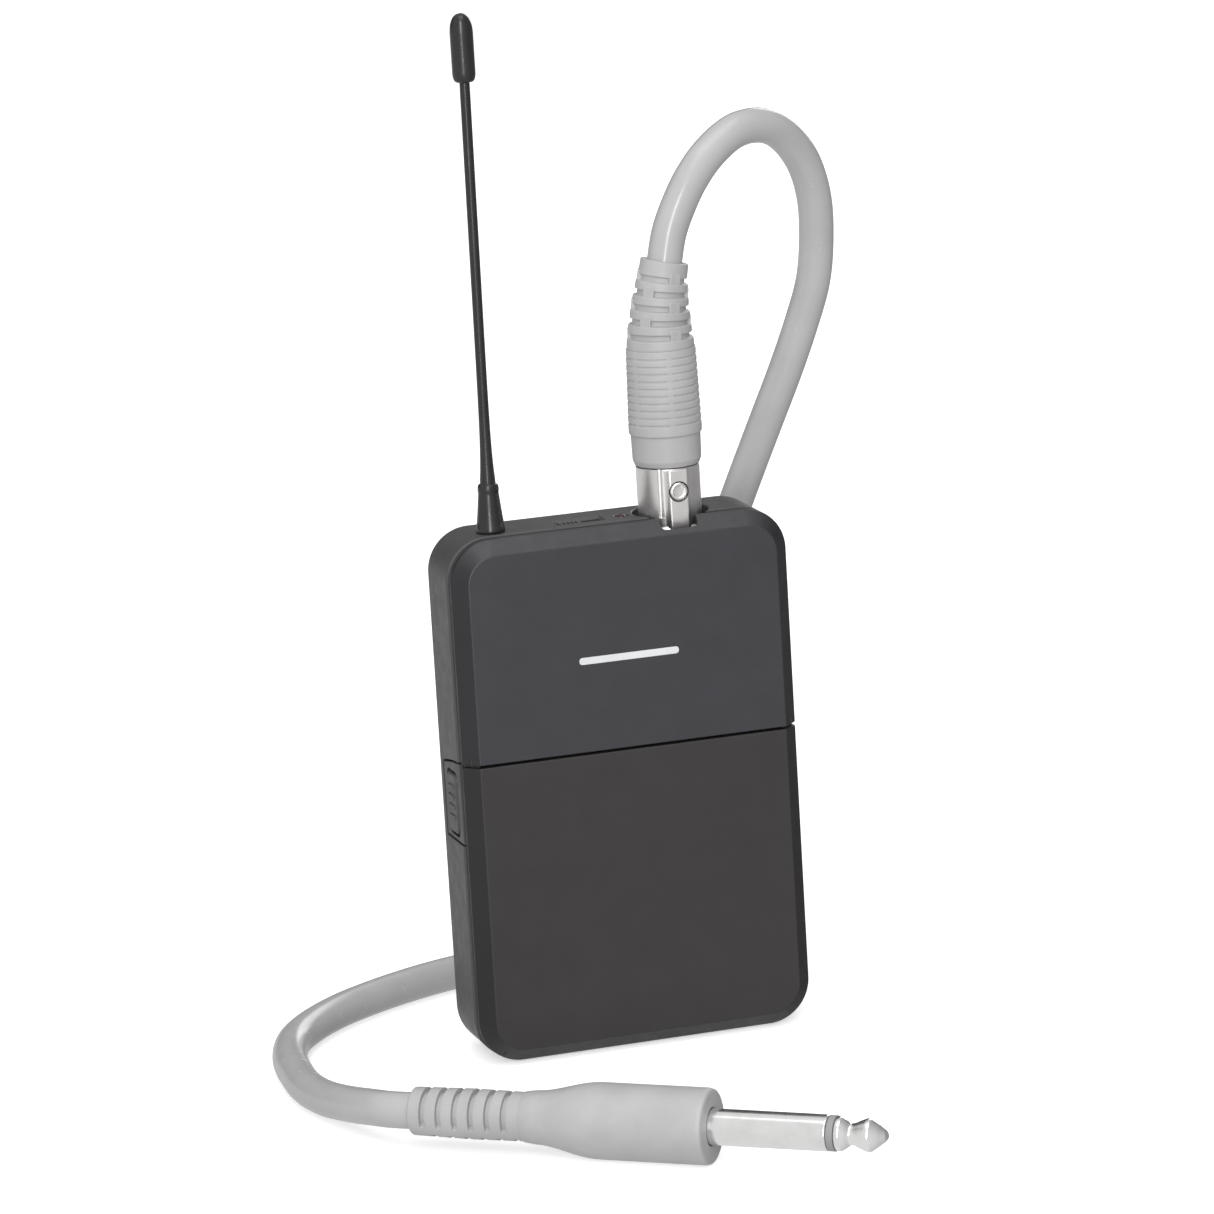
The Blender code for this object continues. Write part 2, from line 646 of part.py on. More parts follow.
def case_connector(chrome, chip, gold):
    centre = (JACK_X / MM, JACK_Y / MM, 0)
    shell = [(4.6, 79.6), (5.3, 79.6), (5.3, 94.3), (6.5, 94.3), (6.5, 95.0), (4.6, 95.0)]
    add_object("jack_shell", turned(shell, centre, sides=24, closed=True), chrome)
    add_object("jack_nut", turned(ring(5.6, 6.5, 90.4, 92.1), centre, sides=24, closed=True), chrome)
    disc = rod((JACK_X / MM, JACK_Y / MM, 80), (JACK_X / MM, JACK_Y / MM, 83.4), 4.3, 18)
    insert = add_object("jack_insert", disc, chip)
    for number, (x, y) in enumerate(connector_circle(), 1):
        cut(insert, rod((x, y, 79), (x, y, 85), 0.8, 10))
        add_object(f"jack_pin_{number}", rod((x, y, 78.6), (x, y, 91), 0.5, 8), gold)


# ---------------------------------------------------------------- lead


def cable_plug(chrome, chip, grey, parent, button_parent):
    x, y = JACK_X / MM, JACK_Y / MM
    centre = (x, y, 0)
    shell = [(3.6, 85.2), (4.3, 85.2), (4.3, 96.3), (5.5, 96.3), (5.85, 96.7), (5.85, 105.5), (4.6, 105.5)]
    shell += [(4.6, 114), (3.6, 114)]
    shell = add_object("cable_plug_shell", turned(shell, centre, sides=24, closed=True), chrome)
    cut(shell, rod((x, y - 8, 102.4), (x, y - 2, 102.4), 2.0, 14))
    insert = add_object("cable_plug_insert", rod((x, y, 85.5), (x, y, 95.8), 3.3, 16), chip)
    for place in connector_circle():
        cut(insert, rod((*place, 84), (*place, 92.5), 0.8, 10))
    grip = [(0, 128.3), (6.3, 128.3), (6.45, 127), (6.7, 112), (6.45, 111.4), (6.45, 107)]
    grip += [(6.0, 105.8), (4.9, 105.8), (4.9, 114.5), (0, 114.5)]
    grip = add_object("cable_plug_grip", turned(grip, centre, sides=24), grey)
    relief = add_object("cable_plug_strain_relief", strain_relief(), grey)
    for piece in (shell, insert, grip, relief):
        hang(piece, parent)
    button = add_object("cable_plug_button", rod((x, y - 6.3, 102.4), (x, y - 4.0, 102.4), 1.7, 14), chrome)
    hang(button, button_parent)


def strain_relief():
    """Ribbed rubber cone that leans with the cord towards its top."""
    low, ribs = 128.6, 6
    high = low + STRAIN_RELIEF_LENGTH / MM
    profile = [(0, low)]
    for i in range(ribs):
        part = i / ribs
        radius = 6.1 - 1.5 * part
        base = low + (high - low) * part
        step = (high - low) / ribs
        profile += [(radius, base), (radius - 0.1, base + 0.6 * step)]
        if i < ribs - 1:
            profile += [(radius - 0.9, base + 0.66 * step), (radius - 1.0, base + 0.94 * step)]
    profile += [(4.5, high), (0, high)]
    shape = turned(profile, (JACK_X / MM, JACK_Y / MM, 0), sides=18)
    for point in shape.verts:
        lean(point.co, JACK_X, low * MM, high * MM)
    return shape


def lean(place, axis_x, low, high):
    """Bends a point of an upright turned shape towards +X, more and more towards its top."""
    part = (place.z - low) / (high - low)
    slope = math.atan(2 * STRAIN_RELIEF_LEAN * part / (high - low))
    aside = place.x - axis_x
    place.x = axis_x + STRAIN_RELIEF_LEAN * part**2 + aside * math.cos(slope)
    place.z -= aside * math.sin(slope)


def cord(jacket, parent):
    points = smooth_route(CORD_ROUTE, 2.4 * 2 * CORD_RADIUS)
    after = next(i for i, point in enumerate(points) if point.z < CORD_BREAK_Z)
    upper, lower = points[:after], points[after - 1 :]
    lower[0] = lower[0] + (lower[1] - lower[0]).normalized() * GAP
    # A short first and last step square the ends up to the strain relief and to the plug.
    slope = math.atan(2 * STRAIN_RELIEF_LEAN / STRAIN_RELIEF_LENGTH)
    upper.insert(1, upper[0] + Vector((math.sin(slope), 0, math.cos(slope))) * 1.5 * MM)
    lower.insert(-1, lower[-1] - PHONE_AXIS * 1.5 * MM)
    upper_tube = wire("cord_upper", upper, CORD_RADIUS, jacket, 2)
    hang(upper_tube, parent)
    wire("cord_lower", lower, CORD_RADIUS, jacket, 2)


def phone_plug(chrome, grey, chip):
    start = PHONE_FACE / MM
    rear = 55.3
    boot = [(0, -rear), (4.2, -rear)]
    ribs, first, pitch = 6, -52.6, 3.05
    for i in range(ribs):
        low = first + i * pitch
        boot += [(4.35, low), (3.7, low + 0.2), (3.7, low + 1.1), (4.35, low + 1.3)]
    boot += [(4.4, -34.4), (0, -34.4)]
    add_object("phone_plug_boot", turned(boot, start, PHONE_AXIS, 16), grey)
    handle = [(0, -34.1), (4.5, -34.1), (5.65, -28), (6.6, -22), (6.7, -20.5), (6.6, -0.6)]
    handle += [(6.1, 0), (3.9, 0), (3.9, -4), (0, -4)]
    add_object("phone_plug_handle", turned(handle, start, PHONE_AXIS, 24), grey)
    radius, tip = PHONE_RADIUS / MM, PHONE_LENGTH / MM
    sleeve = [(0, -3.7), (3.6, -3.7), (3.6, -0.4), (radius, -0.4), (radius, 21.0), (0, 21.0)]
    add_object("phone_plug_sleeve", turned(sleeve, start, PHONE_AXIS, 20), chrome)
    spacer = [(0, 21.3), (3.1, 21.3), (3.1, 22.4), (0, 22.4)]
    add_object("phone_plug_insulator", turned(spacer, start, PHONE_AXIS, 20), chip)
    point = [(0, 22.7), (3.0, 22.7), (3.0, 23.6), (1.9, 25.2), (1.9, 25.6), (2.95, 28.2)]
    point += [(2.9, 28.7), (0.7, tip - 0.3), (0, tip)]
    add_object("phone_plug_tip", turned(point, start, PHONE_AXIS, 20), chrome)


# ---------------------------------------------------------------- the whole


def build():
    clear_scene()
    plastic = material("case_plastic", (0.045, 0.043, 0.045), 0.5)
    rubber = material("antenna_rubber", (0.02, 0.02, 0.021), 0.45)
    grey = material("grey_rubber", (0.5, 0.5, 0.51), 0.55)
    jacket = material("cord_jacket", (0.55, 0.55, 0.56), 0.5)
    chrome = material("chrome", (0.85, 0.85, 0.86), 0.12, 1)
    steel = material("steel", (0.55, 0.55, 0.56), 0.35, 1)
    brass = material("brass", (0.72, 0.56, 0.28), 0.3, 1)
    board = material("circuit_board", (0.02, 0.16, 0.07), 0.45)
    chip = material("black_insulator", (0.015, 0.015, 0.016), 0.5)
    blue = material("capacitor_sleeve", (0.03, 0.06, 0.2), 0.4)
    wrap = material("cell_wrap", (0.08, 0.22, 0.36), 0.3)
    lens = material("led_lens", (0.5, 0.05, 0.04), 0.15)

    hinge = pivot("door_hinge", (0, HINGE_Y, HINGE_Z))
    clip_pivot = pivot("clip_pivot", (0, CLIP_PIVOT_Y, CLIP_PIVOT_Z))
    switch_slide = pivot("switch_slide", (SWITCH_X, SWITCH_Y, 97 * MM))
    trim_pivot = pivot("trim_pivot", (TRIM_X, 0, TRIM_Z))
    antenna_pivot = pivot("antenna_pivot", (ANTENNA_X, ANTENNA_Y, 107 * MM))
    plug_slide = pivot("plug_slide", (JACK_X, JACK_Y, 96 * MM))
    button_slide = pivot("button_slide", (JACK_X, JACK_Y - 6 * MM, 102.4 * MM))

    rear_shell(plastic)
    front_shell(plastic)
    battery_door(plastic, hinge)
    door_latch("door_latch_left", -1, plastic, hinge)
    door_latch("door_latch_right", 1, plastic, hinge)
    hinge_pins(steel)
    case_screws(steel)
    belt_clip_base(plastic)
    belt_clip(plastic, clip_pivot)
    belt_clip_hardware(steel)
    boards_and_parts(board, chip, steel, blue)
    power_switch(chip, plastic, switch_slide)
    status_led(lens)
    gain_trim(chip, plastic, trim_pivot)
    batteries(wrap, steel)
    antenna(rubber, brass, antenna_pivot)
    case_connector(chrome, chip, brass)
    cable_plug(chrome, chip, grey, plug_slide, button_slide)
    cord(jacket, plug_slide)
    phone_plug(chrome, grey, chip)


build()
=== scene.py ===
"""Looks of a wireless guitar transmitter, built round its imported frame.

Metres, +Z up; the pack stands on its bottom with its front towards -Y. Shapes are given in millimetres."""

import json
import math

import bmesh
import bpy
from mathutils import Matrix, Vector


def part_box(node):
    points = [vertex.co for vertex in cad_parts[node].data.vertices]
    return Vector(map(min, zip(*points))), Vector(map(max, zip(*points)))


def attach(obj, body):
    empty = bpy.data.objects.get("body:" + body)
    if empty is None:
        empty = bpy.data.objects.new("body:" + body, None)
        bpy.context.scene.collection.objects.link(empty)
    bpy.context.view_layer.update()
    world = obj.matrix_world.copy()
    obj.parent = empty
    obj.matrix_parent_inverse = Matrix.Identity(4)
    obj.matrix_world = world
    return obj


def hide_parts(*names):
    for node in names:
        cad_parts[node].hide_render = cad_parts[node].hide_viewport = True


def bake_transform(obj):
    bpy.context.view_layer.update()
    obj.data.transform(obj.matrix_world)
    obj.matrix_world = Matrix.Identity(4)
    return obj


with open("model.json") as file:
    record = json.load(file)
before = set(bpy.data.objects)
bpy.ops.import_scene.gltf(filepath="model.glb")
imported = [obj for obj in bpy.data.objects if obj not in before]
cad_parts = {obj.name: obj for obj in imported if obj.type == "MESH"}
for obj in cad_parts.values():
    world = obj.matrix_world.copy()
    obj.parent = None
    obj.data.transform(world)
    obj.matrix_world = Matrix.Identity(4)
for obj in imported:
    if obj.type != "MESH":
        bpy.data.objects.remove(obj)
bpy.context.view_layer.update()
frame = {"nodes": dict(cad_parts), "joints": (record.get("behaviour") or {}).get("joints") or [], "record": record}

MM = 0.001
SLOT_OF = {row["node"]: row["material_slot"] for row in frame["record"]["subparts"]}
BODIES = frame["record"]["behaviour"]["bodies"]
BODY_OF = {node: body for body, held in BODIES.items() for node in held}


def box_mm(node):
    low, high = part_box(node)
    return low / MM, high / MM


def middle_mm(node):
    low, high = box_mm(node)
    return (low + high) / 2


def joint_place(name):
    return next(joint["pos_m"] for joint in frame["joints"] if joint["name"] == name)


# ---- driving dimensions, in millimetres

REAR_HIGH, FRONT_LOW = box_mm("rear_shell")[1], box_mm("front_shell")[0]
DOOR_LOW, DOOR_HIGH = box_mm("battery_door")
HALF_WIDTH, CASE_TOP = REAR_HIGH.x, REAR_HIGH.z
FRONT_Y, REAR_Y = FRONT_LOW.y, REAR_HIGH.y
COVER_RIM_Y, REAR_RIM_Y = FRONT_Y + 5.2, FRONT_Y + 5.6
DOOR_TOP, SHELL_LOW, DOOR_BOTTOM = DOOR_HIGH.z, FRONT_LOW.z, DOOR_LOW.z
CORNER_RADIUS, WALL, RIM_ROUND = 8, 1.6, 0.35
REAR_EDGE_RADIUS, COVER_CHAMFER = 2.6, 2.6
HINGE_Y, HINGE_Z = [value / MM for value in joint_place("door_hinge")[1:]]
HINGE_BORE, KNUCKLE, LATCH_LOW = 1.1, 1.8, 41.4
LATCH_RADIUS = math.hypot(DOOR_TOP - HINGE_Z, COVER_RIM_Y - HINGE_Y)
POST_RADIUS, POST_BORE, CLIP_SCREW_BORE, CLIP_PIN_BORE = 3.3, 1.4, 1.25, 1.3
JACK, LED, TRIM = middle_mm("jack_shell"), middle_mm("status_led"), middle_mm("gain_trim_rotor")
ANTENNA, SWITCH = middle_mm("antenna_boot"), middle_mm("power_switch_body")
CLIP_PIVOT = middle_mm("belt_clip_pin")
WELL_RADIUS, WELL_FLOOR = 7, 94
SCREW_NODES = [f"case_screw_{row}_{side}" for row in ("lower", "upper") for side in ("left", "right")]
SCREW_PLACES = [middle_mm(node) for node in SCREW_NODES]
CLIP_SCREWS = ("belt_clip_screw_lower", "belt_clip_screw_upper")
SIDES = (-1, 1)  # left, right
FLAT_EDGE, SOFT_EDGE = 32, 50  # degrees between faces that still shade as one surface

CORD_DIAMETER = 0.0065
# From the strain relief over and down behind the case, then along the floor to the phone plug
CORD_ROUTE = [
    (14.3, -5.0, 144.4), (15.3, -4.8, 148.6), (17.4, -4.2, 153.1), (20.6, -3.0, 157.9),
    (25.0, -1.4, 162.3), (30.8, 0.6, 165.6), (36.9, 2.8, 165.8), (41.9, 5.2, 163.1),
    (46.2, 7.6, 157.6), (48.6, 9.6, 150.6), (49.2, 11.2, 142.8), (48.6, 12.6, 134.6),
    (46.2, 14.0, 126.2), (43.1, 15.6, 117.4), (39.8, 17.3, 108.9), (36.6, 19.2, 100.4),
    (33.4, 21.4, 91.4), (30.2, 23.9, 81.6), (27.2, 26.6, 71.2), (24.4, 29.4, 60.4),
    (21.6, 32.3, 49.6), (18.5, 35.2, 38.8), (14.8, 38.0, 28.2), (10.0, 40.4, 18.2),
    (3.6, 42.2, 9.8), (-4.6, 42.9, 5.0), (-13.4, 42.4, 3.4), (-22.2, 40.6, 3.35),
    (-31.5, 36.8, 3.35), (-40.4, 31.8, 3.35), (-48.6, 25.9, 3.35), (-56.0, 18.4, 3.35),
    (-61.8, 9.6, 3.35), (-65.3, -1.0, 3.35), (-66.7, -12.4, 3.35), (-67.0, -21.4, 3.5),
    (-66.0, -30.4, 4.0), (-63.9, -39.4, 5.1), (-61.7, -46.6, 6.2), (-59.5, -51.1, 6.7),
    (-56.32, -53.72, 6.75),
]
PHONE_FACE = Vector((-12.4, -87.9, 6.75))  # middle of the phone plug handle's front face
PHONE_AXIS = Vector((0.789, -0.614, 0)).normalized()
RELIEF_LOW, RELIEF_LENGTH, RELIEF_LEAN = 128.6, 15.4, 1.7


# ---- camera, lights and floor


def placed(name, data):
    made = bpy.data.objects.new(name, data)
    bpy.context.scene.collection.objects.link(made)
    return made


def camera():
    """Stands in front and a little above, turned to the pack's left side and rolled a little."""
    yaw, pitch, roll = math.radians(16.85), math.radians(12.02), math.radians(-3.44)
    distance, aside, above = 1.04933, -0.00251, 0.03149
    aim = Vector((0, -0.005, 0.049))
    forward = Vector((math.sin(yaw) * math.cos(pitch), math.cos(yaw) * math.cos(pitch), -math.sin(pitch)))
    level = Vector((math.cos(yaw), -math.sin(yaw), 0))
    upright = level.cross(forward)
    right = math.cos(roll) * level + math.sin(roll) * upright
    up = -math.sin(roll) * level + math.cos(roll) * upright
    data = bpy.data.cameras.new("camera")
    data.sensor_width, data.lens = 36, 168.7
    data.clip_start, data.clip_end = 0.05, 20
    turn = Matrix((right, up, -forward)).transposed().to_4x4()
    place = aim - forward * distance + right * aside + up * above
    made = placed("camera", data)
    made.matrix_world = Matrix.Translation(place) @ turn
    bpy.context.scene.camera = made


def area_light(name, place, size, power):
    data = bpy.data.lights.new(name, "AREA")
    data.shape, data.energy = "RECTANGLE", power
    data.size, data.size_y = size
    made = placed(name, data)
    made.location = place
    towards_pack = Vector((0, 0, 0.07)) - Vector(place)
    made.rotation_euler = towards_pack.to_track_quat("-Z", "Y").to_euler()
    made.visible_camera = False


def tree(owner):
    return owner.node_tree.nodes, owner.node_tree.links


def ramp_of(owner, source, stops):
    """Grey ramp over the given (position, value) stops."""
    nodes, links = tree(owner)
    ramp = nodes.new("ShaderNodeValToRGB")
    while len(ramp.color_ramp.elements) < len(stops):
        ramp.color_ramp.elements.new(0.5)
    for element, (position, value) in zip(ramp.color_ramp.elements, stops):
        element.position, element.color = position, (value, value, value, 1)
    links.new(source, ramp.inputs["Fac"])
    return ramp.outputs["Color"]


def blended(owner, kind, first, second):
    """Two colours combined."""
    nodes, links = tree(owner)
    both = nodes.new("ShaderNodeMix")
    both.data_type, both.blend_type = "RGBA", kind
    both.inputs["Factor"].default_value = 1.0
    links.new(first, both.inputs["A"])
    links.new(second, both.inputs["B"])
    return both.outputs["Result"]


def axis_of(owner, coordinates, axis):
    """One part of a place or a direction."""
    nodes, links = tree(owner)
    place = nodes.new("ShaderNodeTexCoord")
    parts = nodes.new("ShaderNodeSeparateXYZ")
    links.new(place.outputs[coordinates], parts.inputs["Vector"])
    return parts.outputs[axis]


def heading(owner, axis):
    """A direction's part along one axis, from -1 to 1, brought to 0 to 1."""
    spread = owner.node_tree.nodes.new("ShaderNodeMapRange")
    spread.inputs["From Min"].default_value = -1
    owner.node_tree.links.new(axis_of(owner, "Generated", axis), spread.inputs["Value"])
    return spread.outputs["Result"]


def studio():
    """White tent, darker to the right and in a strip above the horizon behind the pack."""
    world = bpy.context.scene.world or bpy.data.worlds.new("world")
    bpy.context.scene.world = world
    world.use_nodes = True
    background = world.node_tree.nodes["Background"]
    background.inputs["Strength"].default_value = 0.72
    behind = ramp_of(world, heading(world, "Y"), ((0.6, 1.0), (0.85, 0.12)))
    strip = ((0.47, 1.0), (0.52, 0.1), (0.7, 0.12), (0.85, 1.0))
    height = ramp_of(world, heading(world, "Z"), strip)
    across = ramp_of(world, heading(world, "X"), ((0.6, 1.0), (0.9, 0.42)))
    tent = blended(world, "MULTIPLY", blended(world, "LIGHTEN", behind, height), across)
    world.node_tree.links.new(tent, background.inputs["Color"])
    area_light("front_light", (-0.42, -1.2, 0.5), (0.16, 1.2), 10)
    area_light("top_light", (0.0, -0.3, 1.3), (0.9, 0.9), 4.5)
    area_light("back_light", (0.9, 1.2, 0.6), (0.6, 0.8), 4.5)
    bpy.context.scene.view_settings.view_transform = "Standard"


def floor():
    shape = bmesh.new()
    bmesh.ops.create_grid(shape, x_segments=8, y_segments=8, size=6)
    made = mesh_object("floor", shape)
    glow = {"Emission_Color": (1, 1, 1, 1), "Emission_Strength": 0.5}
    paper, shader = principled("floor_paper", (0.9, 0.9, 0.9), 0.9, **glow)
    rough(paper, shader, 0.85, 0.95, 40)
    made.data.materials.append(paper)
    made.visible_diffuse = made.visible_glossy = False  # the tent lights the object, not the floor


# ---- materials


def principled(name, colour, roughness, metallic=0.0, **sockets):
    made = bpy.data.materials.new(name)
    made.use_nodes = True
    shader = made.node_tree.nodes["Principled BSDF"]
    shader.inputs["Base Color"].default_value = (*colour, 1)
    shader.inputs["Roughness"].default_value = roughness
    shader.inputs["Metallic"].default_value = metallic
    for socket, value in sockets.items():
        shader.inputs[socket.replace("_", " ")].default_value = value
    made.diffuse_color = (*colour, 1)
    return made, shader


def noise(made, scale, detail, stretch):
    """Noise fixed to the piece, with features of about 1 / scale metres."""
    nodes, links = tree(made)
    place = nodes.new("ShaderNodeTexCoord")
    mapping = nodes.new("ShaderNodeMapping")
    mapping.inputs["Scale"].default_value = stretch
    texture = nodes.new("ShaderNodeTexNoise")
    texture.inputs["Scale"].default_value = scale
    texture.inputs["Detail"].default_value = detail
    links.new(place.outputs["Object"], mapping.inputs["Vector"])
    links.new(mapping.outputs["Vector"], texture.inputs["Vector"])
    return texture.outputs["Fac"]


def two_tone(made, shader, source, tones, stops, kind="LINEAR"):
    nodes, links = tree(made)
    ramp = nodes.new("ShaderNodeValToRGB")
    ramp.color_ramp.interpolation = kind
    for element, tone, stop in zip(ramp.color_ramp.elements, tones, stops):
        element.position, element.color = stop, (*tone, 1)
    links.new(source, ramp.inputs["Fac"])
    links.new(ramp.outputs["Color"], shader.inputs["Base Color"])


def tint(made, shader, dark, light, scale, stretch=(1, 1, 1)):
    """Base colour that drifts between two tones."""
    two_tone(made, shader, noise(made, scale, 4, stretch), (dark, light), (0.35, 0.65))


def rough(made, shader, low, high, scale, stretch=(1, 1, 1)):
    nodes, links = tree(made)
    spread = nodes.new("ShaderNodeMapRange")
    spread.inputs["From Min"].default_value, spread.inputs["From Max"].default_value = 0.3, 0.7
    spread.inputs["To Min"].default_value, spread.inputs["To Max"].default_value = low, high
    links.new(noise(made, scale, 3, stretch), spread.inputs["Value"])
    links.new(spread.outputs["Result"], shader.inputs["Roughness"])


def grain(made, shader, scale, depth, strength, stretch=(1, 1, 1)):
    """Fine surface relief, depth in metres."""
    nodes, links = tree(made)
    bump = nodes.new("ShaderNodeBump")
    bump.inputs["Strength"].default_value = strength
    bump.inputs["Distance"].default_value = depth
    links.new(noise(made, scale, 2, stretch), bump.inputs["Height"])
    links.new(bump.outputs["Normal"], shader.inputs["Normal"])


def shaded(colour, factor):
    return tuple(value * factor for value in colour)


def paint_shade_on_flanks(made, shader, stops):
    """Painted shade: a darker base colour on the faces that look to the left and right, the more so the further
    they turn sideways.
    """
    nodes, links = tree(made)
    size = nodes.new("ShaderNodeMath")
    size.operation = "ABSOLUTE"
    base = shader.inputs["Base Color"].links[0].from_socket
    links.new(axis_of(made, "Normal", "X"), size.inputs[0])
    base_with_painted_shade = blended(made, "MULTIPLY", base, ramp_of(made, size.outputs["Value"], stops))
    links.new(base_with_painted_shade, shader.inputs["Base Color"])


def moulded(name, colour, roughness, scale=2600, depth=3e-5, spread=0.12, flank_painted_shade=None):
    """Moulded plastic or rubber: spark-eroded grain, slightly uneven colour and gloss. Flank stops, if given, add
    painted shade on the side faces.
    """
    made, shader = principled(name, colour, roughness)
    tint(made, shader, shaded(colour, 1 - spread), shaded(colour, 1 + spread), 130)
    # painted shade: darker base colour on the faces turned left and right
    if flank_painted_shade:
        paint_shade_on_flanks(made, shader, flank_painted_shade)
    rough(made, shader, roughness - 0.05, roughness + 0.06, 420)
    grain(made, shader, scale, depth, 0.6)
    return made


def polished(name, colour, roughness):
    """Plated metal: faint drawn lines and a little unevenness in its gloss."""
    made, shader = principled(name, colour, roughness, 1.0)
    tint(made, shader, shaded(colour, 0.95), shaded(colour, 1.03), 260)
    rough(made, shader, roughness, roughness + 0.08, 900, (1, 1, 5))
    grain(made, shader, 1800, 4e-6, 0.3, (1, 1, 4))
    return made


def brushed(name, colour, roughness):
    made, shader = principled(name, colour, roughness, 1.0)
    tint(made, shader, shaded(colour, 0.82), shaded(colour, 1.12), 700, (1, 8, 1))
    rough(made, shader, roughness - 0.06, roughness + 0.1, 1500, (1, 8, 1))
    grain(made, shader, 2200, 8e-6, 0.5, (1, 8, 1))
    return made


def solder_mask(name):
    """Green board with lighter traces under the mask."""
    made, shader = principled(name, (0.02, 0.16, 0.07), 0.4)
    nodes, links = tree(made)
    place = nodes.new("ShaderNodeTexCoord")
    cells = nodes.new("ShaderNodeTexVoronoi")
    cells.distance, cells.feature = "MANHATTAN", "F2"
    cells.inputs["Scale"].default_value = 420
    links.new(place.outputs["Object"], cells.inputs["Vector"])
    tones = (0.012, 0.1, 0.045), (0.03, 0.2, 0.09)
    two_tone(made, shader, cells.outputs["Distance"], tones, (0, 0.6), "CONSTANT")
    rough(made, shader, 0.32, 0.48, 500)
    grain(made, shader, 900, 1e-5, 0.4)
    return made


def printed_film(name, split, way=1):
    """Cell wrap: dark, with a copper band above height split (way 1) or below it (-1)."""
    dark, band = (0.03, 0.035, 0.045), (0.55, 0.3, 0.07)
    made, shader = principled(name, dark, 0.3)
    nodes, links = tree(made)
    above = nodes.new("ShaderNodeMath")
    above.operation = "GREATER_THAN" if way > 0 else "LESS_THAN"
    above.inputs[1].default_value = split * MM
    blend = nodes.new("ShaderNodeMix")
    blend.data_type = "RGBA"
    blend.inputs["A"].default_value = (*dark, 1)
    blend.inputs["B"].default_value = (*band, 1)
    links.new(axis_of(made, "Object", "Z"), above.inputs[0])
    links.new(above.outputs["Value"], blend.inputs["Factor"])
    links.new(blend.outputs["Result"], shader.inputs["Base Color"])
    rough(made, shader, 0.25, 0.36, 500)
    grain(made, shader, 1500, 6e-6, 0.4)
    return made


def lens(name):
    made, shader = principled(name, (0.05, 0.008, 0.007), 0.12, Transmission_Weight=0.3, IOR=1.5)
    tint(made, shader, (0.04, 0.007, 0.006), (0.065, 0.01, 0.008), 900)
    rough(made, shader, 0.08, 0.18, 1200)
    return made


WRAP_SPLIT = 40
FINISH = {
    "case_plastic": moulded("case_plastic_look", (0.064, 0.062, 0.064), 0.46, spread=0.05),
    "antenna_rubber": moulded("antenna_rubber_look", (0.019, 0.018, 0.0187), 0.27, 1500, 1.2e-5),
    "grey_rubber": moulded("grey_rubber_look", (0.43, 0.43, 0.432), 0.5, 1800, 2e-5, 0.05),
    "cord_jacket": moulded("cord_jacket_look", (0.45, 0.45, 0.457), 0.22, 1200, 1e-5, 0.03),
    "chrome": polished("chrome_look", (0.95, 0.945, 0.94), 0.15),
    "steel": brushed("steel_look", (0.55, 0.55, 0.56), 0.32),
    "brass": polished("brass_look", (0.72, 0.56, 0.28), 0.22),
    "circuit_board": solder_mask("circuit_board_look"),
    "black_insulator": moulded("black_insulator_look", (0.017, 0.017, 0.018), 0.45, 1800, 1.5e-5),
    "capacitor_sleeve": moulded("capacitor_sleeve_look", (0.03, 0.06, 0.2), 0.3, 900, 8e-6),
    "trim_plastic": moulded("trim_plastic_look", (0.6, 0.6, 0.58), 0.4, 1500, 1e-5, 0.05),
    "cell_wrap": printed_film("cell_wrap_look", WRAP_SPLIT),
    "led_lens": lens("led_lens_look"),
}
# The covers' flank stops are painted shade: a darker base colour on their chamfers and side faces.
COVER = {"spread": 0.05, "flank_painted_shade": ((0.3, 1.0), (0.62, 0.4), (0.78, 0.38), (0.95, 0.25))}
FRONT_PLASTIC = moulded("front_plastic_look", (0.0362, 0.034, 0.0402), 0.46, **COVER)
DOOR_PLASTIC = moulded("door_plastic_look", (0.029, 0.026, 0.0266), 0.48, **COVER)
NICKEL = polished("nickel_look", (0.84, 0.825, 0.815), 0.3)
INSULATOR_GREY = moulded("insulator_look", (0.3, 0.3, 0.3), 0.45, 1800, 8e-6, 0.04)
PRINT_WHITE = moulded("print_look", (0.72, 0.73, 0.75), 0.5, 2000, 4e-6, 0.04)


# ---- shapes


def arc(start, end, steps):
    """(cosine, sine) pairs from one angle to another, in degrees."""
    angles = [math.radians(start + (end - start) * i / steps) for i in range(steps + 1)]
    return [(math.cos(angle), math.sin(angle)) for angle in angles]


def moved(shape, matrix):
    bmesh.ops.transform(shape, matrix=matrix, verts=shape.verts)
    return shape


def soften(shape, width, edges=None):
    """Rounds edges, all of them unless some are named."""
    rounding = {"segments": 3, "profile": 0.5, "affect": "EDGES", "clamp_overlap": True}
    if width:
        bmesh.ops.bevel(shape, geom=edges or list(shape.edges), offset=width * MM, **rounding)
    return shape


def block(low, high, soft=0.0):
    low, high = Vector(low) * MM, Vector(high) * MM
    matrix = Matrix.Translation((low + high) / 2) @ Matrix.Diagonal((*(high - low), 1))
    shape = bmesh.new()
    bmesh.ops.create_cube(shape, size=1, matrix=matrix)
    return soften(shape, soft)


def side_block(side, x, y, z, soft=0.0):
    """Block whose X span is given for the right-hand side (side 1) and mirrored for the left (-1)."""
    near, far = sorted((side * x[0], side * x[1]))
    return block((near, y[0], z[0]), (far, y[1], z[1]), soft)


def frame_along(start, direction):
    turn = Vector(direction).to_track_quat("Z", "Y").to_matrix().to_4x4()
    return Matrix.Translation(start) @ turn


def rounded(points, radius, closed, steps=4):
    """Outline with each of its corners, or each but its two ends, drawn as a small curve."""
    count = len(points)
    made = []
    for i, point in enumerate(points):
        if not closed and i in (0, count - 1):
            made.append(tuple(point))
            continue
        here = Vector(point)
        before, after = Vector(points[i - 1]) - here, Vector(points[(i + 1) % count]) - here
        start = here + before.normalized() * min(radius, 0.45 * before.length)
        end = here + after.normalized() * min(radius, 0.45 * after.length)
        for step in range(steps + 1):
            t = step / steps
            made.append(tuple((1 - t) ** 2 * start + 2 * t * (1 - t) * here + t**2 * end))
    return made


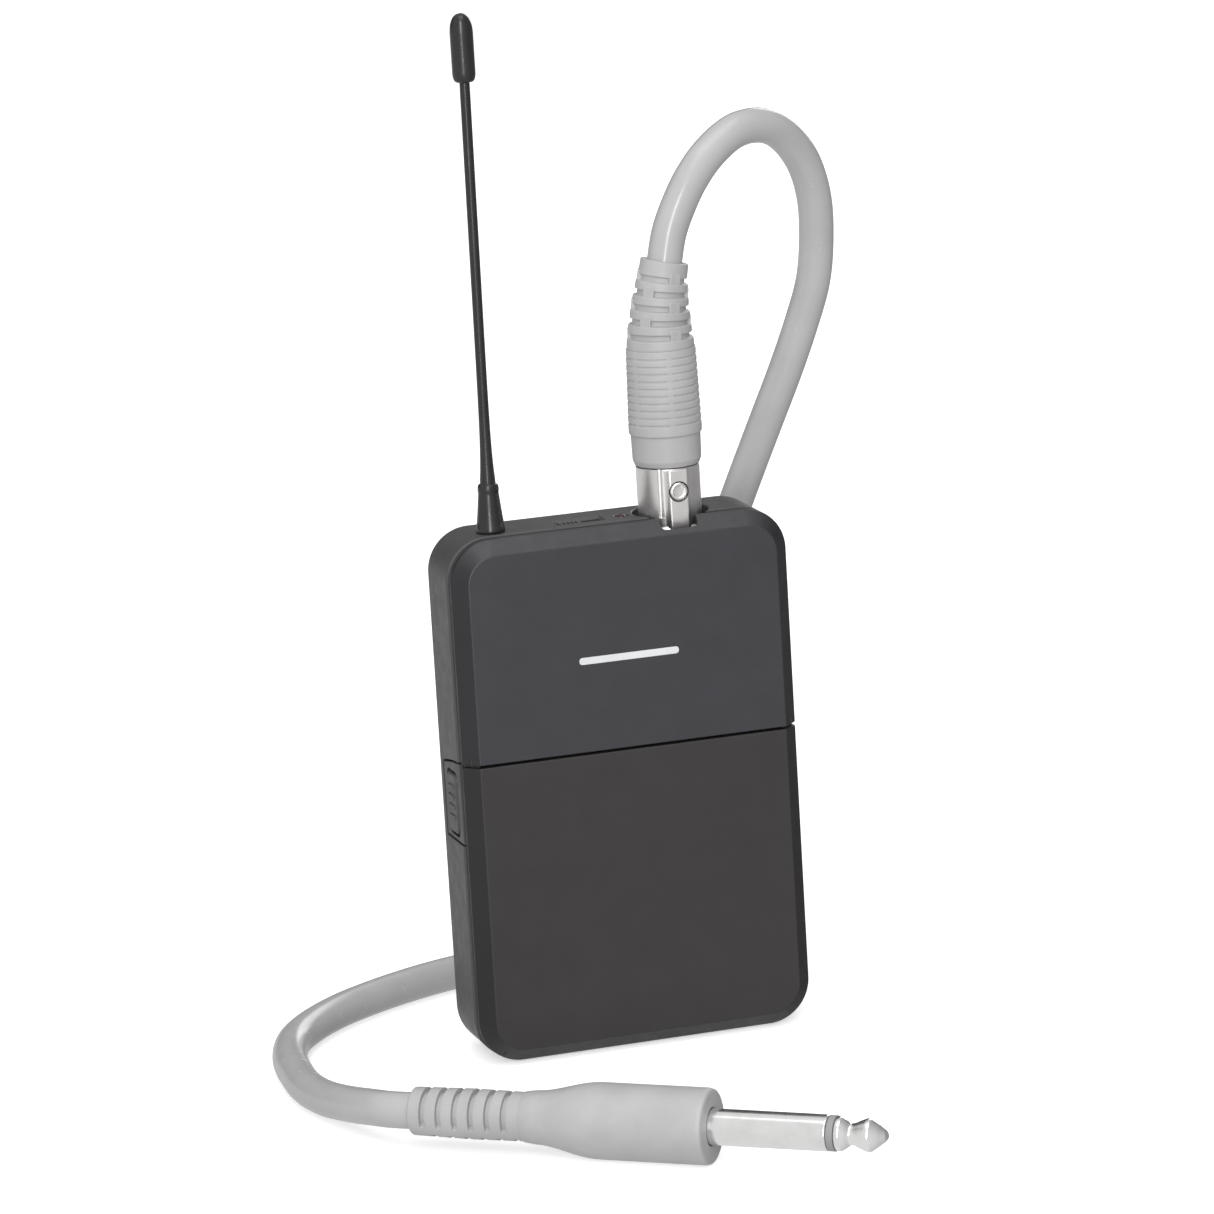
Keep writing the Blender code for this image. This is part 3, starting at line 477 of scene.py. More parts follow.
def turned(profile, start, direction=(0, 0, 1), sides=64, soft=0.2, closed=False):
    """Spins (radius, height) points about the axis that leaves start along direction."""
    shape = bmesh.new()
    outline = rounded(profile, soft, closed) if soft else profile
    points = [shape.verts.new((radius * MM, 0, height * MM)) for radius, height in outline]
    edges = [shape.edges.new(pair) for pair in zip(points, points[1:])]
    if closed:
        edges.append(shape.edges.new((points[-1], points[0])))
    spin = {"cent": (0, 0, 0), "axis": (0, 0, 1), "angle": 2 * math.pi, "use_merge": True}
    bmesh.ops.spin(shape, geom=points + edges, steps=sides, **spin)
    bmesh.ops.remove_doubles(shape, verts=shape.verts, dist=1e-7)
    bmesh.ops.recalc_face_normals(shape, faces=shape.faces)
    return moved(shape, frame_along(Vector(start) * MM, direction))


def rod(start, end, radius, sides=40, soft=0.0):
    start, end = Vector(start), Vector(end)
    length = (end - start).length
    return turned([(0, 0), (radius, 0), (radius, length), (0, length)], start, end - start, sides, soft)


def funnel(start, end, radius, lip=0.3):
    """Cutter for a round hole whose mouth, at end, is slightly rounded. It reaches 1 beyond it."""
    start, end = Vector(start), Vector(end)
    length = (end - start).length
    profile = [(0, 0), (radius, 0)]
    profile += [(radius + lip * (1 - c), length - lip + lip * s) for c, s in arc(0, 90, 4)]
    profile += [(radius + lip, length + 1), (0, length + 1)]
    return turned(profile, start, end - start, 64, 0)


def loft(loops, unit=MM):
    """Closed skin through loops of equally many points, with a face over each end."""
    shape = bmesh.new()
    rings = [[shape.verts.new(Vector(point) * unit) for point in loop] for loop in loops]
    shape.faces.new(rings[0])
    shape.faces.new(rings[-1])
    for one, other in zip(rings, rings[1:]):
        for i in range(len(one)):
            j = (i + 1) % len(one)
            shape.faces.new((one[i], one[j], other[j], other[i]))
    bmesh.ops.recalc_face_normals(shape, faces=shape.faces)
    return shape


def prism(points, low, high, axis, soft=0.0):
    """Extrudes an outline along X (points are Y, Z), Y (X, Z) or Z (X, Y), rounding its two rims."""
    order = {"X": (2, 0, 1), "Y": (0, 2, 1), "Z": (0, 1, 2)}[axis]
    loops = []
    for level in (low, high):
        corners = [(*point, level) for point in points]
        loops.append([[corner[i] for i in order] for corner in corners])
    shape = loft(loops)
    caps = [face for face in shape.faces if len(face.verts) == len(points)]
    return soften(shape, soft, list({edge for face in caps for edge in face.edges}))


def side_prism(side, x, points, soft=0.0):
    near, far = sorted((side * x[0], side * x[1]))
    return prism(points, near, far, "X", soft)


def tube(points, radius, sides=28):
    """Round skin along a smooth line of points in metres, with flat ends."""
    across = Vector((0, 1, 0))
    loops = []
    for i, point in enumerate(points):
        ahead = (points[min(i + 1, len(points) - 1)] - points[max(i - 1, 0)]).normalized()
        across = (across - ahead * across.dot(ahead)).normalized()
        other = ahead.cross(across)
        circle = arc(0, 360, sides)[:-1]
        loops.append([point + (across * c + other * s) * radius for c, s in circle])
    return loft(loops, 1)


def smooth_line(knots, spacing):
    """Evenly spaced points on a smooth curve through knots, all in metres."""
    knots = [Vector(knot) for knot in knots]
    knots = [2 * knots[0] - knots[1], *knots, 2 * knots[-1] - knots[-2]]
    fine = []
    for a, b, c, d in zip(knots, knots[1:], knots[2:], knots[3:]):
        for i in range(12):
            t = i / 12
            bend = 2 * a - 5 * b + 4 * c - d
            twist = 3 * (b - c) + d - a
            fine.append(b + 0.5 * t * ((c - a) + t * (bend + t * twist)))
    fine.append(knots[-2])
    lengths = [0.0]
    for one, other in zip(fine, fine[1:]):
        lengths.append(lengths[-1] + (other - one).length)
    count = round(lengths[-1] / spacing)
    points, j = [], 0
    for i in range(count + 1):
        target = lengths[-1] * i / count
        while j < len(fine) - 2 and lengths[j + 1] < target:
            j += 1
        points.append(fine[j].lerp(fine[j + 1], (target - lengths[j]) / (lengths[j + 1] - lengths[j])))
    return points


def coil(centre, radii, heights, turns, axis=(0, 0, 1)):
    """Points of a helix that may be conical, in metres."""
    matrix = frame_along(Vector(centre) * MM, axis)
    count = int(turns * 28)
    points = []
    for i in range(count + 1):
        part = i / count
        angle = 2 * math.pi * turns * part
        radius = radii[0] + (radii[1] - radii[0]) * part
        height = heights[0] + (heights[1] - heights[0]) * part
        place = Vector((radius * math.cos(angle), radius * math.sin(angle), height))
        points.append(matrix @ (place * MM))
    return points


# ---- pieces


def plus(*shapes):
    return [("UNION", shape) for shape in shapes]


def minus(*shapes):
    return [("DIFFERENCE", shape) for shape in shapes]


def within(shape):
    return [("INTERSECT", shape)]


def mesh_object(name, shape):
    mesh = bpy.data.meshes.new(name)
    shape.to_mesh(mesh)
    shape.free()
    return placed(name, mesh)


def carve(made, steps):
    """Applies Boolean steps to an object's mesh, one after the other."""
    helpers = []
    for operation, shape in steps:
        helper = mesh_object("helper", shape)
        modifier = made.modifiers.new("step", "BOOLEAN")
        modifier.operation, modifier.object, modifier.solver = operation, helper, "MANIFOLD"
        helpers.append(helper)
    bpy.context.view_layer.update()
    evaluated = made.evaluated_get(bpy.context.evaluated_depsgraph_get())
    mesh = bpy.data.meshes.new_from_object(evaluated)
    made.modifiers.clear()
    made.data = mesh
    tidied = bmesh.new()
    tidied.from_mesh(mesh)
    bmesh.ops.dissolve_degenerate(tidied, dist=1e-6, edges=tidied.edges)
    tidied.to_mesh(mesh)
    tidied.free()
    for helper in helpers:
        bpy.data.objects.remove(helper, do_unlink=True)


def shade(made, look, sharp):
    """Smooth shading but for edges that turn by more than sharp degrees."""
    made.data.materials.clear()
    made.data.materials.append(look)
    made.data.shade_smooth()
    made.data.set_sharp_from_angle(angle=math.radians(sharp))


def detail(name, node, shape, steps=(), look=None):
    """A piece that rides on a node's body and, unless another is given, takes the look of that node's slot."""
    made = mesh_object(name, shape)
    if steps:
        carve(made, steps)
    shade(made, look or FINISH[SLOT_OF[node]], FLAT_EDGE)
    made.modifiers.new("flat_faces_first", "WEIGHTED_NORMAL").keep_sharp = True
    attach(made, BODY_OF[node])
    return made


def piece(node, shape, steps=(), look=None):
    """A finished piece that stands for a CAD node."""
    made = detail(f"{node}_fine", node, shape, steps, look)
    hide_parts(node)
    return made


# ---- lead


def cord():
    """One cord that runs from the mini plug at its upper end and lies on the floor at its lower end."""
    knots = [Vector(point) * MM for point in CORD_ROUTE]
    knots[0] = knots[0] - (knots[1] - knots[0]).normalized() * 1.5 * MM
    knots[-1] = knots[-1] + PHONE_AXIS * 1.5 * MM
    line = smooth_line(knots, 1.2 * MM)
    made = mesh_object("cord_whole", tube(line, CORD_DIAMETER / 2))
    shade(made, FINISH["cord_jacket"], SOFT_EDGE)
    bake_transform(made)
    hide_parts("cord_upper", "cord_lower")
    return made, line


def lean(place, low, high):
    """Bends a point of the upright strain relief towards +X, more and more towards its top."""
    part = (place.z - low) / (high - low)
    slope = math.atan(2 * RELIEF_LEAN * part / RELIEF_LENGTH)
    aside = place.x - JACK.x * MM
    place.x = JACK.x * MM + RELIEF_LEAN * MM * part**2 + aside * math.cos(slope)
    place.z -= aside * math.sin(slope)


def strain_relief():
    """Tapering rings on a thin core, webs that alternate from ring to ring, and a plain collar."""
    ribs, collar = 5, 2.65
    pitch = (RELIEF_LENGTH - collar) / ribs
    top = RELIEF_LOW + RELIEF_LENGTH
    profile = [(0, RELIEF_LOW - 0.4), (6.1, RELIEF_LOW - 0.4)]
    for i in range(ribs):
        radius, low = 6.2 - 0.33 * i, RELIEF_LOW + i * pitch
        profile += [(radius, low), (radius - 0.1, low + 0.56 * pitch)]
        profile += [(radius - 0.8, low + 0.62 * pitch), (radius - 0.85, low + 0.96 * pitch)]
    profile += [(4.5, top - collar), (4.4, top), (3.3, top), (3.2, top - 0.8), (0, top - 0.8)]
    core = turned(profile, (JACK.x, JACK.y, 0), sides=72, soft=0.18)
    webs = []
    for i in range(ribs):
        radius, low = 5.95 - 0.33 * i, RELIEF_LOW + i * pitch
        for k in range(3):
            turn = Matrix.Rotation(math.radians(120 * k - 107 + 30 * (-1) ** i), 4, "Z")
            web = block((2, -1.1, low + 0.3 * pitch), (radius, 1.1, low + 1.3 * pitch), 0.2)
            webs.append(moved(web, Matrix.Translation((JACK.x * MM, JACK.y * MM, 0)) @ turn))
    made = piece("cable_plug_strain_relief", core, plus(*webs))
    for vertex in made.data.vertices:
        lean(vertex.co, RELIEF_LOW * MM, top * MM)
    return made


def grip_strips(low, high):
    """Smooth upright strips that part the grip's ribbed panels."""
    strips, count = [], 6
    for k in range(count):
        middle = 360 * k / count - 95.5
        loops = []
        for z, outer in ((low, 6.7), (high, 6.4)):
            points = [(outer * c, outer * s) for c, s in arc(middle - 5, middle + 5, 2)]
            points += [(5.8 * c, 5.8 * s) for c, s in arc(middle + 5, middle - 5, 2)]
            loops.append([(JACK.x + a, JACK.y + b, z) for a, b in points])
        strips.append(loft(loops))
    return plus(*strips)


def mini_plug():
    x, y = JACK.x, JACK.y
    centre = (x, y, 0)
    button_z = middle_mm("cable_plug_button").z
    low, high = box_mm("cable_plug_shell")
    nose = [(3.6, low.z), (4.3, low.z), (4.3, 94.8), (6.25, 94.8), (6.25, 95.5), (5.85, 95.9)]
    nose += [(5.85, 106.6), (4.6, 106.6), (4.6, high.z), (3.6, high.z)]
    key = [(0, 5.2), (0.45, 6.15), (2.6, 6.15), (3.05, 5.2)]
    band = prism([(x - 2.4 + 1.6 * a, y - b) for a, b in key], 95.2, 106.4, "Z", 0.25)
    groove = rod((x - 3.3, y - 5.1, 97.6), (x - 3.3, y - 5.1, 108), 0.6, 24)
    hole = funnel((x, y - 2, button_z), (x, y - 6.2, button_z), 1.88, 0.15)
    shell = piece(
        "cable_plug_shell",
        turned(nose, centre, sides=96, soft=0.15, closed=True),
        plus(band) + minus(groove, hole),
        NICKEL,
    )
    collar = [(0, 0), (1.7, 0), (1.7, 2.1), (1.45, 2.35), (1.15, 2.35), (1.0, 2.1), (0, 2.05)]
    button = turned(collar, (x, y - 4.0, button_z), (0, -1, 0), 48, 0.1)
    button = piece("cable_plug_button", button, look=NICKEL)
    insert = rod((x, y, 85.5), (x, y, 95.8), 3.3, 48, 0.2)
    sockets = []
    for c, s in arc(90, 330, 2):
        place = (x + 2 * c, y + 2 * s)
        sockets.append(rod((*place, 84), (*place, 92.5), 0.8, 20))
    inside = piece("cable_plug_insert", insert, minus(*sockets))
    barrel = [(0, 114.5), (4.9, 114.5), (4.9, 106.8), (5.9, 106.8), (6.3, 107.8), (6.4, 112.4)]
    barrel += [(6.7, 112.7)]
    rings, first, last = 10, 113.5, 127.0
    pitch = (last - first) / rings
    for i in range(rings):
        radius, ring = 6.72 - 0.03 * i, first + i * pitch
        barrel += [(radius, ring), (radius, ring + 0.7 * pitch), (radius - 0.2, ring + 0.78 * pitch)]
        barrel += [(radius - 0.2, ring + 0.94 * pitch)]
    barrel += [(6.4, last), (6.35, 128.3), (0, 128.3)]
    grip = piece("cable_plug_grip", turned(barrel, centre, sides=96, soft=0.12), grip_strips(first, last))
    return [shell, button, inside, grip, strain_relief()]


def phone_boot():
    """Tapered boot with flexing slots that alternate between its two sides."""
    high, low = -34.1, -55.3
    body = [(0, low), (4.25, low), (4.45, -44), (4.3, high), (0, high)]
    body = turned(body, PHONE_FACE, PHONE_AXIS, 72, 0.4)
    upright = Vector((0, 0, 1))
    across = upright.cross(PHONE_AXIS)
    outward = -across * math.cos(math.radians(50)) + upright * math.sin(math.radians(50))
    slots = []
    for i in range(6):
        for way in (-1, 1):
            out = outward * way
            along = -52.4 + 3.05 * i + (0.0 if way > 0 else 1.5)
            turn = Matrix((PHONE_AXIS, out.cross(PHONE_AXIS), out)).transposed().to_4x4()
            centre = PHONE_FACE + PHONE_AXIS * along + out * 3.2
            slot = block((-0.55, -5, -2.2), (0.55, 5, 2.2), 0.25)
            slots.append(moved(slot, Matrix.Translation(centre * MM) @ turn))
    inner = [(0, low + 0.3), (3.45, low + 0.3), (3.6, high - 0.3), (0, high - 0.3)]
    inner = turned(inner, PHONE_FACE, PHONE_AXIS, 48, 0.1)
    return piece("phone_plug_boot", body, minus(*slots) + plus(inner))


def phone_plug():
    low, high = -34.4, 0
    handle = [(0, low), (4.45, low), (4.6, -33.4)]
    for i in range(9):
        part = i / 8
        handle.append((4.7 + 2.0 * (3 * part**2 - 2 * part**3), -32.5 + 12 * part))
    handle += [(6.7, -0.9), (6.5, -0.2), (6.1, high), (3.5, high), (3.35, -0.2), (3.35, -1.0)]
    handle += [(3.9, -1.1), (3.9, -4), (0, -4)]
    grip = piece("phone_plug_handle", turned(handle, PHONE_FACE, PHONE_AXIS, 96, 0.12))
    sleeve = [(0, -3.7), (3.7, -3.7), (3.7, -1.3), (3.175, -1.2), (3.175, 21.0), (3.05, 21.2), (0, 21.2)]
    sleeve = piece("phone_plug_sleeve", turned(sleeve, PHONE_FACE, PHONE_AXIS, 80, 0.08))
    ring = [(0, 21.3), (3.12, 21.3), (3.12, 22.5), (0, 22.5)]
    spacer = turned(ring, PHONE_FACE, PHONE_AXIS, 64, 0.1)
    spacer = piece("phone_plug_insulator", spacer, look=INSULATOR_GREY)
    tip = [(0, 22.6), (3.0, 22.6), (3.05, 23.4), (2.4, 24.4), (1.85, 25.1), (1.9, 25.6), (2.4, 26.7)]
    tip += [(2.95, 28.1), (2.9, 28.7), (1.9, 30.1), (0.9, 31.35), (0.35, 31.7), (0, 31.75)]
    tip = piece("phone_plug_tip", turned(tip, PHONE_FACE, PHONE_AXIS, 64, 0.25))
    return [phone_boot(), grip, sleeve, spacer, tip]


def lead():
    line, route = cord()
    parts = mini_plug() + phone_plug()


# ---- case


def case_outline(inset, low):
    """The case's rounded outline seen from the front, drawn in by inset."""
    radius = CORNER_RADIUS - inset
    right, above, below = HALF_WIDTH - CORNER_RADIUS, CASE_TOP - CORNER_RADIUS, low + CORNER_RADIUS
    middles = ((right, above), (-right, above), (-right, below), (right, below))
    points = []
    for quarter, (x, z) in enumerate(middles):
        points += [(x + radius * c, z + radius * s) for c, s in arc(90 * quarter, 90 * quarter + 90, 18)]
    return points


def rounded_edge(radius):
    """(inset, depth) points from a case half's flank to its face."""
    return [(radius * (1 - c), radius * (1 - s)) for c, s in arc(0, 90, 10)]


def chamfered_edge(size):
    """The same for a 45 degree chamfer with softened corners."""
    bend = 0.5
    points = [(bend * (1 - c), size + bend * (math.sqrt(2) - 1 - s)) for c, s in arc(0, 45, 4)]
    return points + [(depth, inset) for inset, depth in reversed(points)]


def half_case(rim_y, face_y, outer_edge, inner_edge, low=0.0, recess=0.0):
    """A tray with rounded corners. A recess draws its rim in beside the other half."""
    way, rim = 1 if face_y > rim_y else -1, RIM_ROUND
    outer = [(recess + rim * (1 - s), rim_y + way * rim * (1 - c)) for c, s in arc(0, 90, 3)]
    if recess:
        outer += [(recess, rim_y + way * 1.6), (recess * 0.5, rim_y + way * 1.75)]
        outer.append((0.0, rim_y + way * 1.9))
    outer += [(inset, face_y - way * depth) for inset, depth in outer_edge]
    inner = [(WALL, rim_y)]
    inner += [(WALL + inset, face_y - way * (WALL + depth)) for inset, depth in inner_edge]
    loops = []
    for inset, y in inner[::-1] + outer:
        loops.append([(x, y, z) for x, z in case_outline(inset, low)])
    return loft(loops)


def cover(low=0.0):
    return half_case(COVER_RIM_Y, FRONT_Y, chamfered_edge(COVER_CHAMFER), chamfered_edge(1.6), low, 0.8)


def seam_keeper(seam, end):
    """What stays of a front half beyond its seam with its neighbour, with a rounded lip there."""
    way, lip = 1 if end > seam else -1, 0.25
    loops = []
    levels = [(lip * (1 - s), seam + way * lip * (1 - c)) for c, s in arc(0, 90, 4)]
    levels += [(-0.02, seam + way * (lip + 0.02)), (-3, seam + way * (lip + 3)), (-3, end)]
    for inset, z in levels:
        half, front = HALF_WIDTH - inset, FRONT_Y + inset
        edge = chamfered_edge(COVER_CHAMFER - 0.586 * inset)
        points = [(half, 5), (-half, 5)]
        points += [(-half + drawn_in, front + depth) for drawn_in, depth in edge]
        points += [(half - drawn_in, front + depth) for drawn_in, depth in reversed(edge)]
        loops.append([(x, y, z) for x, y in points])
    return loft(loops)


def latch_arc(radius, start_y, end_y):
    """(Y, Z) points on an arc about the door's hinge."""
    ys = [start_y + (end_y - start_y) * i / 12 for i in range(13)]
    return [(y, HINGE_Z + math.sqrt(radius**2 - (y - HINGE_Y) ** 2)) for y in ys]


def hinge_arm(side):
    y, z = HINGE_Y, HINGE_Z
    knuckle = [(y + KNUCKLE * c, z + KNUCKLE * s) for c, s in arc(90, 360, 24)]
    arm = [(y + 3.8, z + 0.4), (y + 3.8, 1.2), (y + 6.4, 1.2), (y + 6.4, z + 2.6), (y + 2.0, z + 2.6)]
    return side_prism(side, (22.9, 25.4), knuckle + arm)


def hinge_holes(start, end):
    y, z = HINGE_Y, HINGE_Z
    return [rod((side * start, y, z), (side * end, y, z), HINGE_BORE) for side in SIDES]


def rear_shell():
    rear, top = REAR_Y - WALL + 0.4, CASE_TOP - WALL
    x, y = JACK.x, JACK.y
    steps = minus(rod((-40, HINGE_Y, HINGE_Z), (40, HINGE_Y, HINGE_Z), 3.5, 64))
    for side in SIDES:
        steps += plus(side_block(side, (15.0, 16.2), (-8.4, rear), (1.2, 60.6), 0.2), hinge_arm(side))
    for place in SCREW_PLACES:
        steps += plus(rod((place.x, 0.9, place.z), (place.x, rear, place.z), POST_RADIUS))
    steps += plus(block((-30.8, -8.9, 60.0), (30.8, 1.3, 61.2)))
    steps += plus(block((x - 7.9, -9.2, 92.4), (x + 7.9, rear, top + 0.4)))
    steps += minus(
        funnel((x, y, WELL_FLOOR), (x, y, CASE_TOP), WELL_RADIUS),
        rod((x, y, 90), (x, y, 100), 5.6, 64),
        funnel((ANTENNA.x, ANTENNA.y, 90), (ANTENNA.x, ANTENNA.y, CASE_TOP), 1.9, 0.2),
        funnel((LED.x, LED.y, 90), (LED.x, LED.y, CASE_TOP), 1.3, 0.25),
        block((SWITCH.x - 4.2, SWITCH.y - 1.8, 95), (SWITCH.x + 4.2, SWITCH.y + 1.8, 100)),
        switch_bezel(),
    )
    low, back = LATCH_LOW - 0.3, box_mm("door_latch_right")[1].y + 0.3
    notch = [(-12, low), (back, low), *latch_arc(LATCH_RADIUS + 0.4, back, -12)]
    for side in SIDES:
        steps += minus(side_prism(side, (29.6, 34), notch))
    for place in SCREW_PLACES:
        steps += minus(
            funnel((place.x, 3.2, place.z), (place.x, REAR_Y, place.z), 2.7),
            rod((place.x, -2, place.z), (place.x, 7, place.z), POST_BORE),
        )
    for node in CLIP_SCREWS:
        z = middle_mm(node).z
        steps += minus(rod((0, 2, z), (0, 7, z), CLIP_SCREW_BORE))
    steps += minus(*hinge_holes(22.4, 25.9))
    edges = rounded_edge(REAR_EDGE_RADIUS), rounded_edge(REAR_EDGE_RADIUS - WALL)
    piece("rear_shell", half_case(REAR_RIM_Y, REAR_Y, *edges), steps)
    seam_lip()


def seam_lip():
    """A lip inside the rear half's rim, which keeps light out of the seam."""
    x, y = JACK.x, JACK.y
    steps = minus(prism(case_outline(2.4, 0.0), -11, -8, "Y"), block((-40, -11, -5), (40, -8, 9)))
    steps += minus(rod((x, y, 85), (x, y, 110), WELL_RADIUS + 1.4, 64))
    for side in SIDES:
        steps += minus(side_block(side, (27, 34), (-11, -8), (40.6, 57)))
    lip = prism(case_outline(1.75, 0.0), COVER_RIM_Y - 0.1, REAR_RIM_Y + 1.5, "Y")
    detail("rear_shell_lip", "rear_shell", lip, steps)


def switch_bezel():
    """Sloping lip round the power switch's slot."""
    loops = []
    for grow, z in ((0.0, CASE_TOP - 0.5), (0.5, CASE_TOP + 0.01), (0.8, CASE_TOP + 1)):
        half_x, half_y = 4.2 + grow, 1.8 + grow
        corners = ((half_x, half_y), (-half_x, half_y), (-half_x, -half_y), (half_x, -half_y))
        outline = rounded([(SWITCH.x + a, SWITCH.y + b) for a, b in corners], 0.6, True)
        loops.append([(a, b, z) for a, b in outline])
    return loft(loops)


def seam_tongue():
    """Strip behind the seam between the front shell and the battery door."""
    side, front, rim = HALF_WIDTH - 0.55, FRONT_Y + 0.7, COVER_RIM_Y
    corner = COVER_CHAMFER - 0.45
    points = [(side - 0.8, rim), (side - 0.8, rim - 1.8), (side, rim - 1.8), (side, front + corner)]
    points += [(side - corner, front), (side - corner - 1, front + 1)]
    points += [(-across, y) for across, y in reversed(points)]
    return prism(points, DOOR_TOP + 0.1, SHELL_LOW + 0.3, "Z")


def front_shell():
    steps = within(seam_keeper(SHELL_LOW, 110)) + plus(seam_tongue())
    steps += plus(block((-30.8, -13.8, SHELL_LOW + 0.1), (30.8, -10.4, SHELL_LOW + 1.2)))
    x, y = JACK.x, JACK.y
    steps += minus(funnel((x, y, 93), (x, y, CASE_TOP), WELL_RADIUS))
    steps += minus(rod((x, y, 91), (x, y, 96.2), WELL_RADIUS + 1.2, 64))
    notch = rounded([(x - 4.6, -14.15), (x + 2.5, -14.15), (x + 2.5, -9), (x - 4.6, -9)], 1.0, True, 6)
    steps += minus(prism(notch, 94.6, 99, "Z"))
    for place in SCREW_PLACES:
        steps += plus(rod((place.x, -13.8, place.z), (place.x, 0.5, place.z), 2.7, 40, 0.2))
        steps += minus(rod((place.x, -11, place.z), (place.x, 2, place.z), POST_BORE))
    piece("front_shell", cover(), steps, FRONT_PLASTIC)
    bar = rounded([(-9.5, 73.4), (9.5, 73.4), (9.5, 74.7), (-9.5, 74.7)], 0.65, True)
    bar = prism(bar, FRONT_Y - 0.03, FRONT_Y + 0.2, "Y")
    detail("front_print", "front_shell", bar, look=PRINT_WHITE)


def battery_door():
    y, z, top = HINGE_Y, HINGE_Z, DOOR_TOP
    swing = [(y + 3.2 * s, z - 3.2 * c) for c, s in arc(0, 90, 24)]
    steps = within(seam_keeper(DOOR_TOP, -10))
    steps += minus(prism([*swing, (y + 6, z), (y + 6, -2), (y, -2)], -40, 40, "X"))
    steps += plus(block((-29.6, -13.8, top - 1.2), (29.6, -12.5, top - 0.1), 0.2))
    slot = [(y, -1), (-5, -1), (-5, 7.5), (y, 7.5)]
    room = KNUCKLE + 0.5
    slot += [(y + room * c, z + room * s) for c, s in arc(90, 270, 32)]
    for side in SIDES:
        steps += minus(side_prism(side, (22.6, 25.7), slot))
        steps += plus(rod((side * 25.7, y, z), (side * 27.7, y, z), 2.2))
        for rail in (42.6, 53.6):
            steps += plus(side_block(side, (19, 28), (-13.8, -11.4), (rail, rail + 1), 0.15))
    steps += minus(*hinge_holes(25.4, 28.0))
    piece("battery_door", cover(DOOR_BOTTOM), steps, DOOR_PLASTIC)


def door_latch(node, side):
    low = LATCH_LOW
    back, front = box_mm(node)[1].y, COVER_RIM_Y + 0.3
    face = [(front, low), (back, low), *latch_arc(LATCH_RADIUS, back, front)]
    arm = [(30.4, -9.0), (30.4, -3.0), (28.4, -3.0), (28.4, -11.6)]
    arm += [(20.0, -11.6), (20.0, -13.0), (29.6, -13.0), (29.6, -9.0)]
    pad = rounded([(-7.0, 42.7), (-1.4, 42.7), (-1.4, 53.9), (-7.0, 53.9)], 1.4, True, 8)
    moat = rounded([(-7.6, 42.1), (-0.8, 42.1), (-0.8, 54.5), (-7.6, 54.5)], 1.8, True, 8)
    steps = minus(side_prism(side, (31.3, 33), moat))
    steps += plus(side_prism(side, (30.8, 32.15), pad, 0.35))
    steps += plus(prism([(side * x, y) for x, y in arm], 44.0, 53.2, "Z"))
    for i in range(4):
        rib = 45.4 + 1.9 * i
        steps += plus(side_block(side, (31.6, 32.4), (-6.0, -2.4), (rib, rib + 0.8), 0.25))
    piece(node, side_prism(side, (30.2, 31.9), face, 0.2), steps)


def hinge_pins():
    for node in ("door_hinge_pin_left", "door_hinge_pin_right"):
        low, high = box_mm(node)
        piece(node, rod((low.x, HINGE_Y, HINGE_Z), (high.x, HINGE_Y, HINGE_Z), 0.8, 32, 0.2))


def screw(node, profile, sides, soft, size, depth):
    """Screw whose head looks to the rear, with a cross recess."""
    slot, place = 0.28, middle_mm(node)
    x, y, z = place.x, box_mm(node)[0].y, place.z
    shape = turned(profile, (x, y, z), (0, 1, 0), sides, soft)
    y += profile[-1][1]
    cross = minus(
        block((x - size, y - depth, z - slot), (x + size, y + 1, z + slot)),
        block((x - slot, y - depth, z - size), (x + slot, y + 1, z + size)),
    )
    piece(node, shape, cross)


def case_screws():
    profile = [(0, 0), (1.1, 0), (1.1, 10.4), (2.4, 10.4), (2.4, 10.9), (1.9, 11.5), (1.0, 11.8)]
    profile += [(0, 11.85)]
    for node in SCREW_NODES:
        screw(node, profile, 48, 0.15, 1.35, 1.0)


# ---- belt clip


def belt_clip_base():
    low, high = box_mm("belt_clip_base")
    y, z = CLIP_PIVOT.y, CLIP_PIVOT.z
    foot = low.y + 0.5
    ear = [(foot, z - 6), (y + 1.5, z - 2.2), (y + 2.2, z), (y + 1.5, z + 2.2), (foot, z + 6)]
    steps = []
    for side in SIDES:
        steps += plus(side_prism(side, (7.2, 9), rounded(ear, 1.6, True, 6), 0.3))
    steps += minus(rod((-12, y, z), (12, y, z), CLIP_PIN_BORE))
    for node in CLIP_SCREWS:
        height = middle_mm(node).z
        steps += minus(rod((0, 4, height), (0, 9, height), CLIP_SCREW_BORE))
        steps += minus(funnel((0, low.y + 0.8, height), (0, low.y + 1.5, height), 2.3, 0.2))
    plate = block((-9, low.y, low.z), (9, low.y + 1.5, high.z), 0.45)
    piece("belt_clip_base", plate, steps)


def belt_clip():
    """Sprung arm with a ribbed thumb pad above its pivot and a toe turned in at its lower end."""
    y, z = CLIP_PIVOT.y, CLIP_PIVOT.z
    outside = [(14.0, z + 11), (14.95, z + 8), (15, z - 34), (14.2, z - 41), (11.6, z - 45.5)]
    outside += [(8.8, z - 47.2), (8.4, z - 50)]
    inside = [(7.0, z - 50), (6.2, z - 47.6), (7.0, z - 45.8), (10.0, z - 43.4), (12.4, z - 39)]
    inside += [(13.1, z - 33), (13.1, z + 8), (12.6, z + 11)]
    steps = []
    lug = [(13.6, z - 4), (y - 1.4, z - 1.9), (y - 2.1, z), (y - 1.4, z + 1.9), (13.6, z + 4)]
    for side in SIDES:
        steps += plus(side_prism(side, (4.9, 6.8), rounded(lug, 1.2, True, 6), 0.25))
    steps += minus(rod((-7, y, z), (7, y, z), CLIP_PIN_BORE))
    for i in range(4):
        groove = z + 2.2 + 1.9 * i
        steps += minus(block((-6.4, 14.55, groove), (6.4, 16, groove + 0.9), 0.3))
    outline = rounded(outside + inside, 3.0, True, 7)
    piece("belt_clip", prism(outline, -8.5, 8.5, "X", 0.45), steps)


